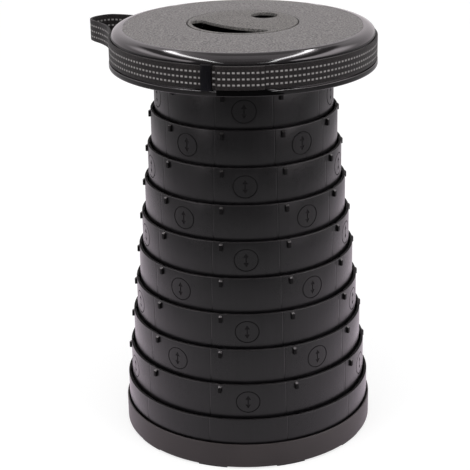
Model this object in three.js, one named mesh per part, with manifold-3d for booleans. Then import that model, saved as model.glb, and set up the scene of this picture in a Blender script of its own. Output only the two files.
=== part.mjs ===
// Collapsible telescopic stool, in millimetres, +Z up.
// The origin lies on the floor, on the axis of the tube sections, and the front is -Y.
// An azimuth is an angle about that axis: 0 is the front, and it grows towards +X.

import * as THREE from 'three';
import { mergeVertices } from 'three/addons/utils/BufferGeometryUtils.js';
import Module from 'manifold-3d';

const wasm = await Module();
wasm.setup();

// Shared fits and facets
const SEAT_GAP = 0.3;
const OVERRUN = 1;
const RING_FACETS = 30;
const DISC_FACETS = 20;
const SMALL_FACETS = 8;
const FACET_MIDDLE = THREE.MathUtils.degToRad(-1);
const FULL_TURN = 2 * Math.PI;

// Telescoping sections, numbered from the seat tube, 0, to the base section
const SLIDE_COUNT = 10;
const SECTION_STEP = 38.4;
const SECTION_RADIUS_STEP = 4.38;
const SECTION_WALL = 1.6;
const SECTION_HEIGHT = 50;
const BASE_SECTION_RADIUS = 135.2;
const BASE_SECTION_RIM_Z = 56.6;
const LIP_RUNNING_GAP = 1.1;
const LIP_DEPTH = 2;
const LIP_SLOPE = 1.2;

// Pegs near each rim, and the notches that take them when the stool is folded
const PEG_COUNT = 10;
const PEG_AZIMUTH = THREE.MathUtils.degToRad(-13);
const PEG_WIDTH = 3.6;
const PEG_REACH = 2.4;
const PEG_DROP = 1;
const PEG_SLOPE = 2.1;
const PEG_FACE = 5.9;
const PEG_ROOT = 0.8;
const PEG_GAP = 0.45;

// Lock ribs outside each section's foot, and the ledges they turn on to
const LOCK_COUNT = 5;
const LOCK_AZIMUTH = FACET_MIDDLE;
const LOCK_SPAN = THREE.MathUtils.degToRad(10);
const LOCK_TURN = THREE.MathUtils.degToRad(36);
const LOCK_LEDGE_HEIGHT = 3;
const LOCK_LEDGE_GAP = 0.45;
const LOCK_RUNNING_GAP = 0.35;
const LOCK_ROOT = 0.8;

// Base pan and its anti-slip pads
const PAN_GAP = 0.8;
const PAN_WALL = 1.7;
const PAN_FLOOR = 2;
const PAN_CLEARANCE = 1.2;
const PAN_RIM_Z = 28.35;
const PAN_EDGE = 0.8;
const PAN_RIB_COUNT = 10;
const PAN_RIB_WIDTH = 1.6;
const PAN_RIB_HEIGHT = 1.6;
const PAN_RIB_INNER = 20;
const PAN_RIB_MARGIN = 20;
const SNAP_COUNT = 5;
const SNAP_SPAN = THREE.MathUtils.degToRad(5);
const SNAP_HEIGHT = 4;
const SNAP_RISE = 12;
const SNAP_TIP_INSET = 0.6;
const PAD_COUNT = 10;
const PAD_AZIMUTH = THREE.MathUtils.degToRad(-16.6);
const PAD_SPAN = THREE.MathUtils.degToRad(13.4);
const PAD_THICKNESS = 1.5;
const PAD_WIDTH = 9.5;
const PAD_EDGE_INSET = 1.2;
const CENTRE_PAD_RADIUS = 14;

// Seat cover
const CAVITY_CLEARANCE = 1;
const SEAT_WALL = 3;
const SEAT_SHELL = 3;
const SEAT_SKIRT = 30.4;
const SEAT_LIP_HEIGHT = 5.7;
const SEAT_LIP_EDGE = 0.8;
const SEAT_LIP_PROUD = 0.3;
const SEAT_LIP_CLEARANCE = 0.5;
const SEAT_COUNTERBORE = 3.1;
const CROWN_RISE = 10.2;
const BEVEL_WIDTH = 12.2;
const BEVEL_STEPS = 4;
const DOME_RISE = 3.5;
const DOME_MIDDLE_SHARE = 0.73;
const SEAT_RIB_COUNT = 10;
const SEAT_RIB_AZIMUTH = THREE.MathUtils.degToRad(18);
const SEAT_RIB_WIDTH = 1.6;

// Seat insert with its finger slot and thumb hole
const INSERT_RADIUS = 58.4;
const INSERT_THICKNESS = 3;
const LEDGE_WIDTH = 2.7;
const LEDGE_THICKNESS = 2;
const LEDGE_FILLET = 2;
const SLOT_EDGE = 4.4;
const SLOT_WIDTH = 29.2;
const SLOT_INNER_X = 55;
const SLOT_INNER_Y = 70;
const SLOT_WIDE_END = 8;
const SLOT_NARROW_END = 5.4;
const SLOT_ARC_STEPS = 11;
const SLOT_END_STEPS = 4;
const THUMB_RADIUS = 14.4;
const THUMB_EDGE = 5.7;
const THUMB_AZIMUTH = THREE.MathUtils.degToRad(142.7);
const HOOK_AZIMUTHS = [60, 115, 170, 225].map(THREE.MathUtils.degToRad);
const HOOK_WIDTH = 8;
const HOOK_THICKNESS = 1.8;
const HOOK_BARB = 1;
const HOOK_BARB_HEIGHT = 2;

// Clamp ring and screws that hold the seat tube's lip to the seat cover
const SCREW_COUNT = 5;
const SCREW_INSET = 5.8;
const SCREW_SHANK_RADIUS = 1.7;
const SCREW_HEAD_RADIUS = 3.6;
const SCREW_HEAD_HEIGHT = 2.2;
const SCREW_BITE = 6;
const BOSS_RADIUS = 4.5;
const CLAMP_THICKNESS = 2.2;
const CLAMP_MARGIN = 5;
const CLAMP_LIP_WIDTH = 3.4;

// Carry strap, its loop and its keeper
const STRAP_WIDTH = 23.4;
const STRAP_THICKNESS = 2.2;
const LOOP_START = THREE.MathUtils.degToRad(-88);
const LOOP_END = THREE.MathUtils.degToRad(-137);
const LOOP_OVERLAP = THREE.MathUtils.degToRad(0.5);
const LOOP_REACH = 50;
const LOOP_STEPS = 30;
const TAIL_FROM = THREE.MathUtils.degToRad(-10.7);
const TAIL_TO = THREE.MathUtils.degToRad(8);
const SEWN_DEPTH = 0.4;
const KEEPER_SHIFT = 3.7;
const KEEPER_LENGTH = 13;
const KEEPER_LEG = 0.9;
const KEEPER_FACE = 1.8;

// The loop's middle line: azimuth in degrees, and the share of the reach it stands out by
const LOOP_ROUTE_SHARES = [
  [-98, 0.056],
  [-106.1, 0.216],
  [-111.6, 0.5],
  [-115, 0.83],
  [-117.6, 0.99],
  [-121.3, 1],
  [-125.9, 0.87],
  [-128.3, 0.58],
  [-129.8, 0.28],
  [-131.9, 0.09],
];

// Sizes that follow from those above
const FACET_STEP = FULL_TURN / RING_FACETS;
const FACET_CORNER = FACET_MIDDLE + FACET_STEP / 2;
const KEEPER_AZIMUTH = FACET_MIDDLE - FACET_STEP;
const sectionRadius = (index) => BASE_SECTION_RADIUS - (SLIDE_COUNT - index) * SECTION_RADIUS_STEP;
const sectionRimZ = (index) => BASE_SECTION_RIM_Z + (SLIDE_COUNT - index) * SECTION_STEP;
const SECTION_OVERLAP = SECTION_HEIGHT - SECTION_STEP;
const LOCK_RIB_HEIGHT = SECTION_OVERLAP - LIP_DEPTH - LIP_SLOPE - SEAT_GAP;
const LOCK_RIB_REACH = SECTION_RADIUS_STEP - SECTION_WALL - LOCK_RUNNING_GAP;
const PAN_FLOOR_Z = PAN_CLEARANCE + PAN_FLOOR;
const PAN_INNER_RADIUS = BASE_SECTION_RADIUS + PAN_GAP;
const PAN_RADIUS = PAN_INNER_RADIUS + PAN_WALL;
const BASE_SECTION_HEIGHT = BASE_SECTION_RIM_Z - PAN_FLOOR_Z - SEAT_GAP;
const SNAP_Z = PAN_FLOOR_Z + SNAP_RISE;
const PAD_OUTER_RADIUS = PAN_RADIUS - PAD_EDGE_INSET;
const PAD_INNER_RADIUS = PAD_OUTER_RADIUS - PAD_WIDTH;
const CEILING_Z = sectionRimZ(0) + SEAT_GAP;
const CAVITY_RADIUS = BASE_SECTION_RADIUS + CAVITY_CLEARANCE;
const SEAT_WALL_RADIUS = CAVITY_RADIUS + SEAT_WALL;
const STRAP_INNER_RADIUS = SEAT_WALL_RADIUS + SEAT_GAP;
const STRAP_OUTER_RADIUS = STRAP_INNER_RADIUS + STRAP_THICKNESS;
const STRAP_MIDDLE_RADIUS = STRAP_INNER_RADIUS + STRAP_THICKNESS / 2;
const SEAT_LIP_RADIUS = STRAP_OUTER_RADIUS + SEAT_LIP_PROUD;
const SEAT_LIP_BORE = PAN_RADIUS + SEAT_LIP_CLEARANCE;
const SEAT_BOTTOM_Z = CEILING_Z - SEAT_SKIRT;
const SEAT_LIP_TOP_Z = SEAT_BOTTOM_Z + SEAT_LIP_HEIGHT;
const KEEPER_ROOM = KEEPER_LEG + 2 * SEAT_GAP;
const STRAP_BOTTOM_Z = SEAT_LIP_TOP_Z + KEEPER_ROOM;
const BEVEL_BOTTOM_Z = STRAP_BOTTOM_Z + STRAP_WIDTH + KEEPER_ROOM;
const BEVEL_TOP_Z = CEILING_Z + CROWN_RISE;
const BEVEL_HEIGHT = BEVEL_TOP_Z - BEVEL_BOTTOM_Z;
const DOME_RADIUS = SEAT_WALL_RADIUS - BEVEL_WIDTH;
const INSERT_BORE = INSERT_RADIUS + SEAT_GAP;
const SLOT_RADIUS = INSERT_RADIUS - SLOT_EDGE;
const SLOT_INNER_RADIUS = Math.hypot(SLOT_INNER_X, SLOT_INNER_Y) + SLOT_RADIUS - SLOT_WIDTH;
const INSERT_TOP_Z = domeZ(INSERT_BORE);
const LEDGE_TOP_Z = INSERT_TOP_Z - INSERT_THICKNESS - SEAT_GAP;
const LEDGE_BOTTOM_Z = LEDGE_TOP_Z - LEDGE_THICKNESS;
const LEDGE_RADIUS = INSERT_BORE - LEDGE_WIDTH;
const SEAT_TUBE_BORE = sectionRadius(0) - SECTION_WALL;
const CLAMP_LIP_BORE = SEAT_TUBE_BORE - CLAMP_LIP_WIDTH;
const SCREW_CIRCLE = CLAMP_LIP_BORE - SCREW_INSET;
const CLAMP_TOP_Z = sectionRimZ(0) - LIP_DEPTH - SEAT_GAP;
const CLAMP_BOTTOM_Z = CLAMP_TOP_Z - CLAMP_THICKNESS;
const BOSS_BOTTOM_Z = CLAMP_TOP_Z + SEAT_GAP;
const SCREW_HOLE_RADIUS = SCREW_SHANK_RADIUS + SEAT_GAP;

// Height of the seat's crowned top at a radius
function domeZ(radius) {
  return BEVEL_TOP_Z + DOME_RISE * (1 - (radius / DOME_RADIUS) ** 2);
}

// Finishes
const sectionPlastic = new THREE.MeshStandardMaterial({ color: 0x2c2b2d, roughness: 0.45, metalness: 0 });
const basePlastic = new THREE.MeshStandardMaterial({ color: 0x343233, roughness: 0.5, metalness: 0 });
const seatPlastic = new THREE.MeshStandardMaterial({ color: 0x2a292b, roughness: 0.3, metalness: 0 });
const insertPlastic = new THREE.MeshStandardMaterial({ color: 0x2f2e30, roughness: 0.45, metalness: 0 });
const webbing = new THREE.MeshStandardMaterial({ color: 0x1c1b1c, roughness: 0.9, metalness: 0 });
const keeperPlastic = new THREE.MeshStandardMaterial({ color: 0x1e1e24, roughness: 0.35, metalness: 0 });
const padRubber = new THREE.MeshStandardMaterial({ color: 0x77767a, roughness: 0.8, metalness: 0 });
const screwSteel = new THREE.MeshStandardMaterial({ color: 0xa8a8ac, roughness: 0.3, metalness: 1 });

// A closed geometry as a manifold solid
function solidOf(geometry) {
  geometry.deleteAttribute('normal');
  geometry.deleteAttribute('uv');
  const merged = mergeVertices(geometry);
  const vertProperties = new Float32Array(merged.getAttribute('position').array);
  const triVerts = new Uint32Array(merged.getIndex().array);
  return new wasm.Manifold(new wasm.Mesh({ numProp: 3, vertProperties, triVerts }));
}

// A manifold solid as a geometry
function geometryOf(solid) {
  const { vertProperties, triVerts } = solid.getMesh();
  const geometry = new THREE.BufferGeometry();
  geometry.setAttribute('position', new THREE.BufferAttribute(vertProperties, 3));
  geometry.setIndex(new THREE.BufferAttribute(triVerts, 1));
  geometry.computeVertexNormals();
  return geometry;
}

function addAll(solid, pieces) {
  return pieces.reduce((sum, piece) => sum.add(piece), solid);
}

function subtractAll(solid, pieces) {
  return pieces.reduce((rest, piece) => rest.subtract(piece), solid);
}

// The azimuths of a pattern of equal steps round the axis
function azimuths(count, first = 0) {
  return Array.from({ length: count }, (unused, index) => first + (index * FULL_TURN) / count);
}

// The radius of a faceted circle at an azimuth: less than the full radius between its corners
function facetRadius(radius, azimuth) {
  const facetMiddle = FACET_MIDDLE + Math.round((azimuth - FACET_MIDDLE) / FACET_STEP) * FACET_STEP;
  return (radius * Math.cos(FACET_STEP / 2)) / Math.cos(azimuth - facetMiddle);
}

function polar(radius, azimuth) {
  return new THREE.Vector2(radius * Math.sin(azimuth), -radius * Math.cos(azimuth));
}

function facetPoint(radius, azimuth) {
  return polar(facetRadius(radius, azimuth), azimuth);
}

// The corners of a faceted circle between two azimuths, with both ends
function facetArc(radius, from, to) {
  const stops = [from];
  const first = Math.floor((from - FACET_CORNER) / FACET_STEP) + 1;
  for (let corner = first; FACET_CORNER + corner * FACET_STEP < to; corner += 1) {
    stops.push(FACET_CORNER + corner * FACET_STEP);
  }
  stops.push(to);
  return stops.map((azimuth) => facetPoint(radius, azimuth));
}

// A piece of a ring, between two radii, two azimuths and two heights
function sector(innerRadius, outerRadius, from, to, bottom, top) {
  const outer = facetArc(outerRadius, from, to);
  const inner = facetArc(innerRadius, from, to).reverse();
  const shape = new THREE.Shape([...outer, ...inner]);
  const geometry = new THREE.ExtrudeGeometry(shape, { depth: top - bottom, bevelEnabled: false });
  return geometry.translate(0, 0, bottom);
}

// A profile of [radius, height] corners, listed anticlockwise, turned about the axis
function revolve(profile, facets = RING_FACETS) {
  const corners = profile.map(([radius, height]) => new THREE.Vector2(radius, height));
  return new THREE.LatheGeometry(corners, facets, FACET_CORNER).rotateX(Math.PI / 2);
}

// A profile that doesn't touch the axis, closed on its first corner
function revolveClosed(profile, facets = RING_FACETS) {
  return revolve([...profile, profile[0]], facets);
}

// A side view of [outward, up] corners, given a width and stood at an azimuth
function standOut(shape, width, azimuth, leftShift = 0) {
  const geometry = new THREE.ExtrudeGeometry(shape, { depth: width, bevelEnabled: false });
  geometry.translate(0, 0, leftShift - width / 2);
  return geometry.rotateX(Math.PI / 2).rotateZ(azimuth - Math.PI / 2);
}

function cornersShape(corners) {
  return new THREE.Shape(corners.map(([outward, up]) => new THREE.Vector2(outward, up)));
}

function rectangleShape(inner, outer, bottom, top) {
  return cornersShape([
    [inner, bottom],
    [outer, bottom],
    [outer, top],
    [inner, top],
  ]);
}

function part(name, geometry, material) {
  const mesh = new THREE.Mesh(geometry, material);
  mesh.name = name;
  return mesh;
}

// Pegs outside a section, measured down from its rim
function pegs(radius) {
  return azimuths(PEG_COUNT, PEG_AZIMUTH).map((azimuth) => {
    const wall = facetRadius(radius, azimuth);
    const side = cornersShape([
      [wall - PEG_ROOT, -PEG_DROP - PEG_SLOPE - PEG_FACE],
      [wall + PEG_REACH, -PEG_DROP - PEG_SLOPE - PEG_FACE],
      [wall + PEG_REACH, -PEG_DROP - PEG_SLOPE],
      [wall, -PEG_DROP],
      [wall - PEG_ROOT, -PEG_DROP],
    ]);
    return solidOf(standOut(side, PEG_WIDTH, azimuth));
  });
}

// Notches in a section's lip and wall, for the pegs of the section inside it
function pegNotches(insideRadius) {
  return azimuths(PEG_COUNT, PEG_AZIMUTH).map((azimuth) => {
    const wall = facetRadius(insideRadius, azimuth);
    const side = rectangleShape(wall, wall + PEG_REACH + PEG_GAP, -LIP_DEPTH - LIP_SLOPE, OVERRUN);
    return solidOf(standOut(side, PEG_WIDTH + 2 * PEG_GAP, azimuth));
  });
}

// Lock ribs round a section's foot, which also stop under the next section's lip
function lockRibs(radius, footZ) {
  return azimuths(LOCK_COUNT, LOCK_AZIMUTH).map((azimuth) =>
    solidOf(sector(
      radius - LOCK_ROOT,
      radius + LOCK_RIB_REACH,
      azimuth - LOCK_SPAN / 2,
      azimuth + LOCK_SPAN / 2,
      footZ,
      footZ + LOCK_RIB_HEIGHT,
    )),
  );
}

// Ledges inside a section, on which the lock ribs of the section inside it come to stand
function lockLedges(radius, insideRadius) {
  const top = -SECTION_OVERLAP - SEAT_GAP;
  return azimuths(LOCK_COUNT, LOCK_AZIMUTH + LOCK_TURN).map((azimuth) =>
    solidOf(sector(
      insideRadius + LOCK_LEDGE_GAP,
      radius - SECTION_WALL + LOCK_ROOT,
      azimuth - LOCK_SPAN / 2,
      azimuth + LOCK_SPAN / 2,
      top - LOCK_LEDGE_HEIGHT,
      top,
    )),
  );
}

// The tube of a section with its inward lip, its rim at height 0
function sectionTube(radius, insideRadius, height) {
  const bore = radius - SECTION_WALL;
  const lipBore = insideRadius + LIP_RUNNING_GAP;
  return solidOf(revolveClosed([
    [radius, -height],
    [radius, 0],
    [lipBore, 0],
    [lipBore, -LIP_DEPTH],
    [bore, -LIP_DEPTH - LIP_SLOPE],
    [bore, -height],
  ]));
}

function freeSection(index) {
  const radius = sectionRadius(index);
  const insideRadius = sectionRadius(index - 1);
  let solid = sectionTube(radius, insideRadius, SECTION_HEIGHT);
  solid = addAll(solid, lockRibs(radius, -SECTION_HEIGHT));
  solid = addAll(solid, lockLedges(radius, insideRadius));
  solid = subtractAll(solid, pegNotches(insideRadius));
  solid = addAll(solid, pegs(radius));
  const mesh = part(`section_${index}`, geometryOf(solid), sectionPlastic);
  mesh.position.z = sectionRimZ(index);
  return mesh;
}

// The lowest section, with windows for the base pan's snaps
function baseSection() {
  const insideRadius = sectionRadius(SLIDE_COUNT - 1);
  const bore = BASE_SECTION_RADIUS - SECTION_WALL;
  let solid = sectionTube(BASE_SECTION_RADIUS, insideRadius, BASE_SECTION_HEIGHT);
  solid = addAll(solid, lockLedges(BASE_SECTION_RADIUS, insideRadius));
  solid = subtractAll(solid, pegNotches(insideRadius));
  const play = SEAT_GAP / BASE_SECTION_RADIUS;
  const windowBottom = SNAP_Z - BASE_SECTION_RIM_Z - SEAT_GAP;
  solid = subtractAll(solid, azimuths(SNAP_COUNT, FACET_MIDDLE).map((azimuth) =>
    solidOf(sector(
      bore - OVERRUN,
      BASE_SECTION_RADIUS + OVERRUN,
      azimuth - SNAP_SPAN / 2 - play,
      azimuth + SNAP_SPAN / 2 + play,
      windowBottom,
      windowBottom + SNAP_HEIGHT + 2 * SEAT_GAP,
    )),
  ));
  const mesh = part('base_section', geometryOf(solid), sectionPlastic);
  mesh.position.z = BASE_SECTION_RIM_Z;
  return mesh;
}

// The top section, whose lip is clamped under the seat cover
function seatTube() {
  const radius = sectionRadius(0);
  let solid = solidOf(revolveClosed([
    [radius, -SECTION_HEIGHT],
    [radius, 0],
    [CLAMP_LIP_BORE, 0],
    [CLAMP_LIP_BORE, -LIP_DEPTH],
    [SEAT_TUBE_BORE, -LIP_DEPTH],
    [SEAT_TUBE_BORE, -SECTION_HEIGHT],
  ]));
  solid = addAll(solid, lockRibs(radius, -SECTION_HEIGHT));
  solid = addAll(solid, pegs(radius));
  const mesh = part('seat_tube', geometryOf(solid), sectionPlastic);
  mesh.position.z = sectionRimZ(0);
  return mesh;
}

// The ring that the screws pull up against the seat tube's lip
function clampRing() {
  const inside = SCREW_CIRCLE - CLAMP_MARGIN;
  const outside = SEAT_TUBE_BORE - SEAT_GAP;
  const ring = solidOf(revolveClosed([
    [inside, CLAMP_BOTTOM_Z],
    [outside, CLAMP_BOTTOM_Z],
    [outside, CLAMP_TOP_Z],
    [inside, CLAMP_TOP_Z],
  ]));
  const holes = screwPattern(SCREW_HOLE_RADIUS, CLAMP_BOTTOM_Z - OVERRUN, CLAMP_TOP_Z + OVERRUN);
  return part('clamp_ring', geometryOf(subtractAll(ring, holes)), basePlastic);
}

// Round pins on the screw circle
function screwPattern(radius, bottom, top) {
  return azimuths(SCREW_COUNT).map((azimuth) => {
    const pin = revolve([[0, bottom], [radius, bottom], [radius, top], [0, top]], SMALL_FACETS);
    pin.translate(SCREW_CIRCLE * Math.sin(azimuth), -SCREW_CIRCLE * Math.cos(azimuth), 0);
    return solidOf(pin);
  });
}

function seatScrews() {
  const headTop = CLAMP_BOTTOM_Z - SEAT_GAP;
  const heads = screwPattern(SCREW_HEAD_RADIUS, headTop - SCREW_HEAD_HEIGHT, headTop);
  const shanks = screwPattern(SCREW_SHANK_RADIUS, headTop - SCREW_HEAD_HEIGHT / 2, BOSS_BOTTOM_Z + SCREW_BITE);
  return heads.map((head, index) =>
    part(`seat_screw_${index + 1}`, geometryOf(head.add(shanks[index])), screwSteel));
}

// The seat cover's bevel, from the recess up to the crowned top
function bevelCorners() {
  return Array.from({ length: BEVEL_STEPS + 1 }, (unused, index) => {
    const turn = ((index / BEVEL_STEPS) * Math.PI) / 2;
    return [DOME_RADIUS + BEVEL_WIDTH * Math.cos(turn), BEVEL_BOTTOM_Z + BEVEL_HEIGHT * Math.sin(turn)];
  });
}

// Height of the shell's outside over the dome and the bevel
function shellTopZ(radius) {
  if (radius <= DOME_RADIUS) {
    return domeZ(radius);
  }
  return BEVEL_BOTTOM_Z + BEVEL_HEIGHT * Math.sqrt(1 - ((radius - DOME_RADIUS) / BEVEL_WIDTH) ** 2);
}

function seatCover() {
  const middleRadius = DOME_RADIUS * DOME_MIDDLE_SHARE;
  const counterboreTop = SEAT_BOTTOM_Z + SEAT_COUNTERBORE;
  const boreStep = SEAT_LIP_BORE - CAVITY_RADIUS;
  const ledgeRoot = INSERT_BORE + SEAT_SHELL;
  let solid = solidOf(revolveClosed([
    [SEAT_LIP_BORE, SEAT_BOTTOM_Z],
    [SEAT_LIP_RADIUS, SEAT_BOTTOM_Z],
    [SEAT_LIP_RADIUS, SEAT_LIP_TOP_Z - SEAT_LIP_EDGE],
    [SEAT_LIP_RADIUS - SEAT_LIP_EDGE, SEAT_LIP_TOP_Z],
    [SEAT_WALL_RADIUS, SEAT_LIP_TOP_Z],
    ...bevelCorners(),
    [middleRadius, domeZ(middleRadius)],
    [INSERT_BORE, INSERT_TOP_Z],
    [INSERT_BORE, LEDGE_TOP_Z],
    [LEDGE_RADIUS, LEDGE_TOP_Z],
    [LEDGE_RADIUS, LEDGE_BOTTOM_Z],
    [ledgeRoot, LEDGE_BOTTOM_Z],
    [ledgeRoot + LEDGE_FILLET, domeZ(ledgeRoot) - SEAT_SHELL],
    [DOME_RADIUS, BEVEL_TOP_Z - SEAT_SHELL],
    [CAVITY_RADIUS, shellTopZ(CAVITY_RADIUS) - SEAT_SHELL],
    [CAVITY_RADIUS, counterboreTop + boreStep],
    [SEAT_LIP_BORE, counterboreTop],
  ]));
  solid = addAll(solid, azimuths(SEAT_RIB_COUNT, SEAT_RIB_AZIMUTH).map(seatRib));
  solid = addAll(solid, screwPattern(BOSS_RADIUS, BOSS_BOTTOM_Z, domeZ(SCREW_CIRCLE) - SEAT_SHELL / 2));
  const screwEnd = BOSS_BOTTOM_Z + SCREW_BITE + SEAT_GAP;
  solid = subtractAll(solid, screwPattern(SCREW_HOLE_RADIUS, BOSS_BOTTOM_Z - OVERRUN, screwEnd));
  solid = solid.subtract(keeperPocket());
  return part('seat_cover', geometryOf(solid), seatPlastic);
}

// A rib under the shell, level with the folded sections' rims
function seatRib(azimuth) {
  const from = INSERT_BORE + SEAT_SHELL;
  const to = facetRadius(CAVITY_RADIUS, azimuth) + SEAT_WALL / 2;
  const side = cornersShape([
    [from, CEILING_Z],
    [to, CEILING_Z],
    [to, shellTopZ(CAVITY_RADIUS) - SEAT_SHELL],
    [DOME_RADIUS, BEVEL_TOP_Z - SEAT_SHELL / 2],
    [from, domeZ(from) - SEAT_SHELL / 2],
  ]);
  return solidOf(standOut(side, SEAT_RIB_WIDTH, azimuth));
}

// A shallow pocket in the strap recess, for the leg of the keeper behind the strap
function keeperPocket() {
  const wall = facetRadius(SEAT_WALL_RADIUS, KEEPER_AZIMUTH);
  const side = rectangleShape(wall - KEEPER_ROOM, wall + OVERRUN, SEAT_LIP_TOP_Z, BEVEL_BOTTOM_Z);
  return solidOf(standOut(side, KEEPER_LENGTH + 2 * SEAT_GAP, KEEPER_AZIMUTH, KEEPER_SHIFT));
}

// Points along an arc, between two angles measured from +X
function arcPoints(centre, radius, from, to, steps) {
  return Array.from({ length: steps + 1 }, (unused, index) => {
    const angle = from + ((to - from) * index) / steps;
    return new THREE.Vector2(centre.x + radius * Math.cos(angle), centre.y + radius * Math.sin(angle));
  });
}

// The middle of a round end that touches the slot's outer arc inside and its inner arc outside
function slotEnd(innerCentre, endRadius, side) {
  const fromMiddle = SLOT_RADIUS - endRadius;
  const fromInner = SLOT_INNER_RADIUS + endRadius;
  const apart = innerCentre.length();
  const cosine = (fromMiddle ** 2 + apart ** 2 - fromInner ** 2) / (2 * fromMiddle * apart);
  const angle = innerCentre.angle() + side * Math.acos(cosine);
  return new THREE.Vector2(fromMiddle * Math.cos(angle), fromMiddle * Math.sin(angle));
}

// The crescent between two arcs, wide and round at the left and narrow at the right
function fingerSlotShape() {
  const middle = new THREE.Vector2();
  const innerCentre = new THREE.Vector2(SLOT_INNER_X, SLOT_INNER_Y);
  const wide = slotEnd(innerCentre, SLOT_WIDE_END, 1);
  const narrow = slotEnd(innerCentre, SLOT_NARROW_END, -1);
  const wideOut = wide.angle();
  const narrowOut = narrow.angle();
  const wideIn = innerCentre.clone().sub(wide).angle();
  const narrowIn = innerCentre.clone().sub(narrow).angle();
  const outer = arcPoints(middle, SLOT_RADIUS, wideOut, narrowOut, SLOT_ARC_STEPS);
  const right = arcPoints(narrow, SLOT_NARROW_END, narrowOut - FULL_TURN, narrowIn, SLOT_END_STEPS);
  const from = narrowIn + Math.PI;
  const to = wideIn + Math.PI;
  const inner = arcPoints(innerCentre, SLOT_INNER_RADIUS, from, to, SLOT_ARC_STEPS);
  const left = arcPoints(wide, SLOT_WIDE_END, wideIn, wideOut, SLOT_END_STEPS);
  return new THREE.Shape([...outer, ...right.slice(1), ...inner.slice(1), ...left.slice(1, -1)]);
}

function cutThrough(shape, bottom, top) {
  const geometry = new THREE.ExtrudeGeometry(shape, { depth: top - bottom, bevelEnabled: false });
  return solidOf(geometry.translate(0, 0, bottom));
}

// A snap hook under the insert, whose barb reaches below the seat cover's ledge
function insertHook(azimuth) {
  const outside = facetRadius(LEDGE_RADIUS, azimuth) - SEAT_GAP;
  const plateBottom = INSERT_TOP_Z - INSERT_THICKNESS;
  const barbTop = LEDGE_BOTTOM_Z - SEAT_GAP;
  const side = cornersShape([
    [outside - HOOK_THICKNESS, barbTop - HOOK_BARB_HEIGHT],
    [outside, barbTop - HOOK_BARB_HEIGHT],
    [outside + HOOK_BARB, barbTop],
    [outside, barbTop],
    [outside, plateBottom + INSERT_THICKNESS / 2],
    [outside - HOOK_THICKNESS, plateBottom + INSERT_THICKNESS / 2],
  ]);
  return solidOf(standOut(side, HOOK_WIDTH, azimuth));
}

function seatInsert() {
  const bottom = INSERT_TOP_Z - INSERT_THICKNESS;
  let solid = solidOf(revolve([
    [0, bottom],
    [INSERT_RADIUS, bottom],
    [INSERT_RADIUS, INSERT_TOP_Z],
    [0, INSERT_TOP_Z],
  ]));
  const thumb = revolve([
    [0, bottom - OVERRUN],
    [THUMB_RADIUS, bottom - OVERRUN],
    [THUMB_RADIUS, INSERT_TOP_Z + OVERRUN],
    [0, INSERT_TOP_Z + OVERRUN],
  ], DISC_FACETS);
  const thumbDistance = INSERT_RADIUS - THUMB_EDGE - THUMB_RADIUS;
  const thumbMiddle = polar(thumbDistance, THUMB_AZIMUTH);
  solid = solid.subtract(solidOf(thumb.translate(thumbMiddle.x, thumbMiddle.y, 0)));
  solid = solid.subtract(cutThrough(fingerSlotShape(), bottom - OVERRUN, INSERT_TOP_Z + OVERRUN));
  solid = addAll(solid, HOOK_AZIMUTHS.map(insertHook));
  return part('seat_insert', geometryOf(solid), insertPlastic);
}

// The strap's run round the seat, from the loop's start to its end
function strapRun() {
  const end = LOOP_END + FULL_TURN;
  const top = STRAP_BOTTOM_Z + STRAP_WIDTH;
  return solidOf(sector(STRAP_INNER_RADIUS, STRAP_OUTER_RADIUS, LOOP_START, end, STRAP_BOTTOM_Z, top));
}

// The strap's tail, sewn on to its run at the front
function strapTail() {
  const inside = STRAP_OUTER_RADIUS - SEWN_DEPTH;
  const outside = STRAP_OUTER_RADIUS + STRAP_THICKNESS;
  const top = STRAP_BOTTOM_Z + STRAP_WIDTH;
  return solidOf(sector(inside, outside, TAIL_FROM, TAIL_TO, STRAP_BOTTOM_Z, top));
}

// The carry loop: the strap's slack, standing out at the left of the back
function strapLoop() {
  const start = facetPoint(STRAP_MIDDLE_RADIUS, LOOP_START + LOOP_OVERLAP);
  const end = facetPoint(STRAP_MIDDLE_RADIUS, LOOP_END - LOOP_OVERLAP);
  const between = LOOP_ROUTE_SHARES.map(([azimuth, share]) =>
    polar(STRAP_MIDDLE_RADIUS + share * LOOP_REACH, THREE.MathUtils.degToRad(azimuth)));
  const route = new THREE.SplineCurve([start, ...between, end]);
  const outer = [];
  const inner = [];
  for (let index = 0; index <= LOOP_STEPS; index += 1) {
    const point = route.getPoint(index / LOOP_STEPS);
    const ahead = route.getTangent(index / LOOP_STEPS);
    if (index === 0) {
      ahead.set(-Math.cos(LOOP_START), -Math.sin(LOOP_START));
    }
    if (index === LOOP_STEPS) {
      ahead.set(-Math.cos(LOOP_END), -Math.sin(LOOP_END));
    }
    const outward = new THREE.Vector2(-ahead.y, ahead.x).multiplyScalar(STRAP_THICKNESS / 2);
    outer.push(point.clone().add(outward));
    inner.push(point.clone().sub(outward));
  }
  const shape = new THREE.Shape([...inner, ...outer.reverse()]);
  const geometry = new THREE.ExtrudeGeometry(shape, { depth: STRAP_WIDTH, bevelEnabled: false });
  return solidOf(geometry.translate(0, 0, STRAP_BOTTOM_Z));
}

function carryStrap() {
  return part('carry_strap', geometryOf(strapRun().add(strapTail()).add(strapLoop())), webbing);
}

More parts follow.
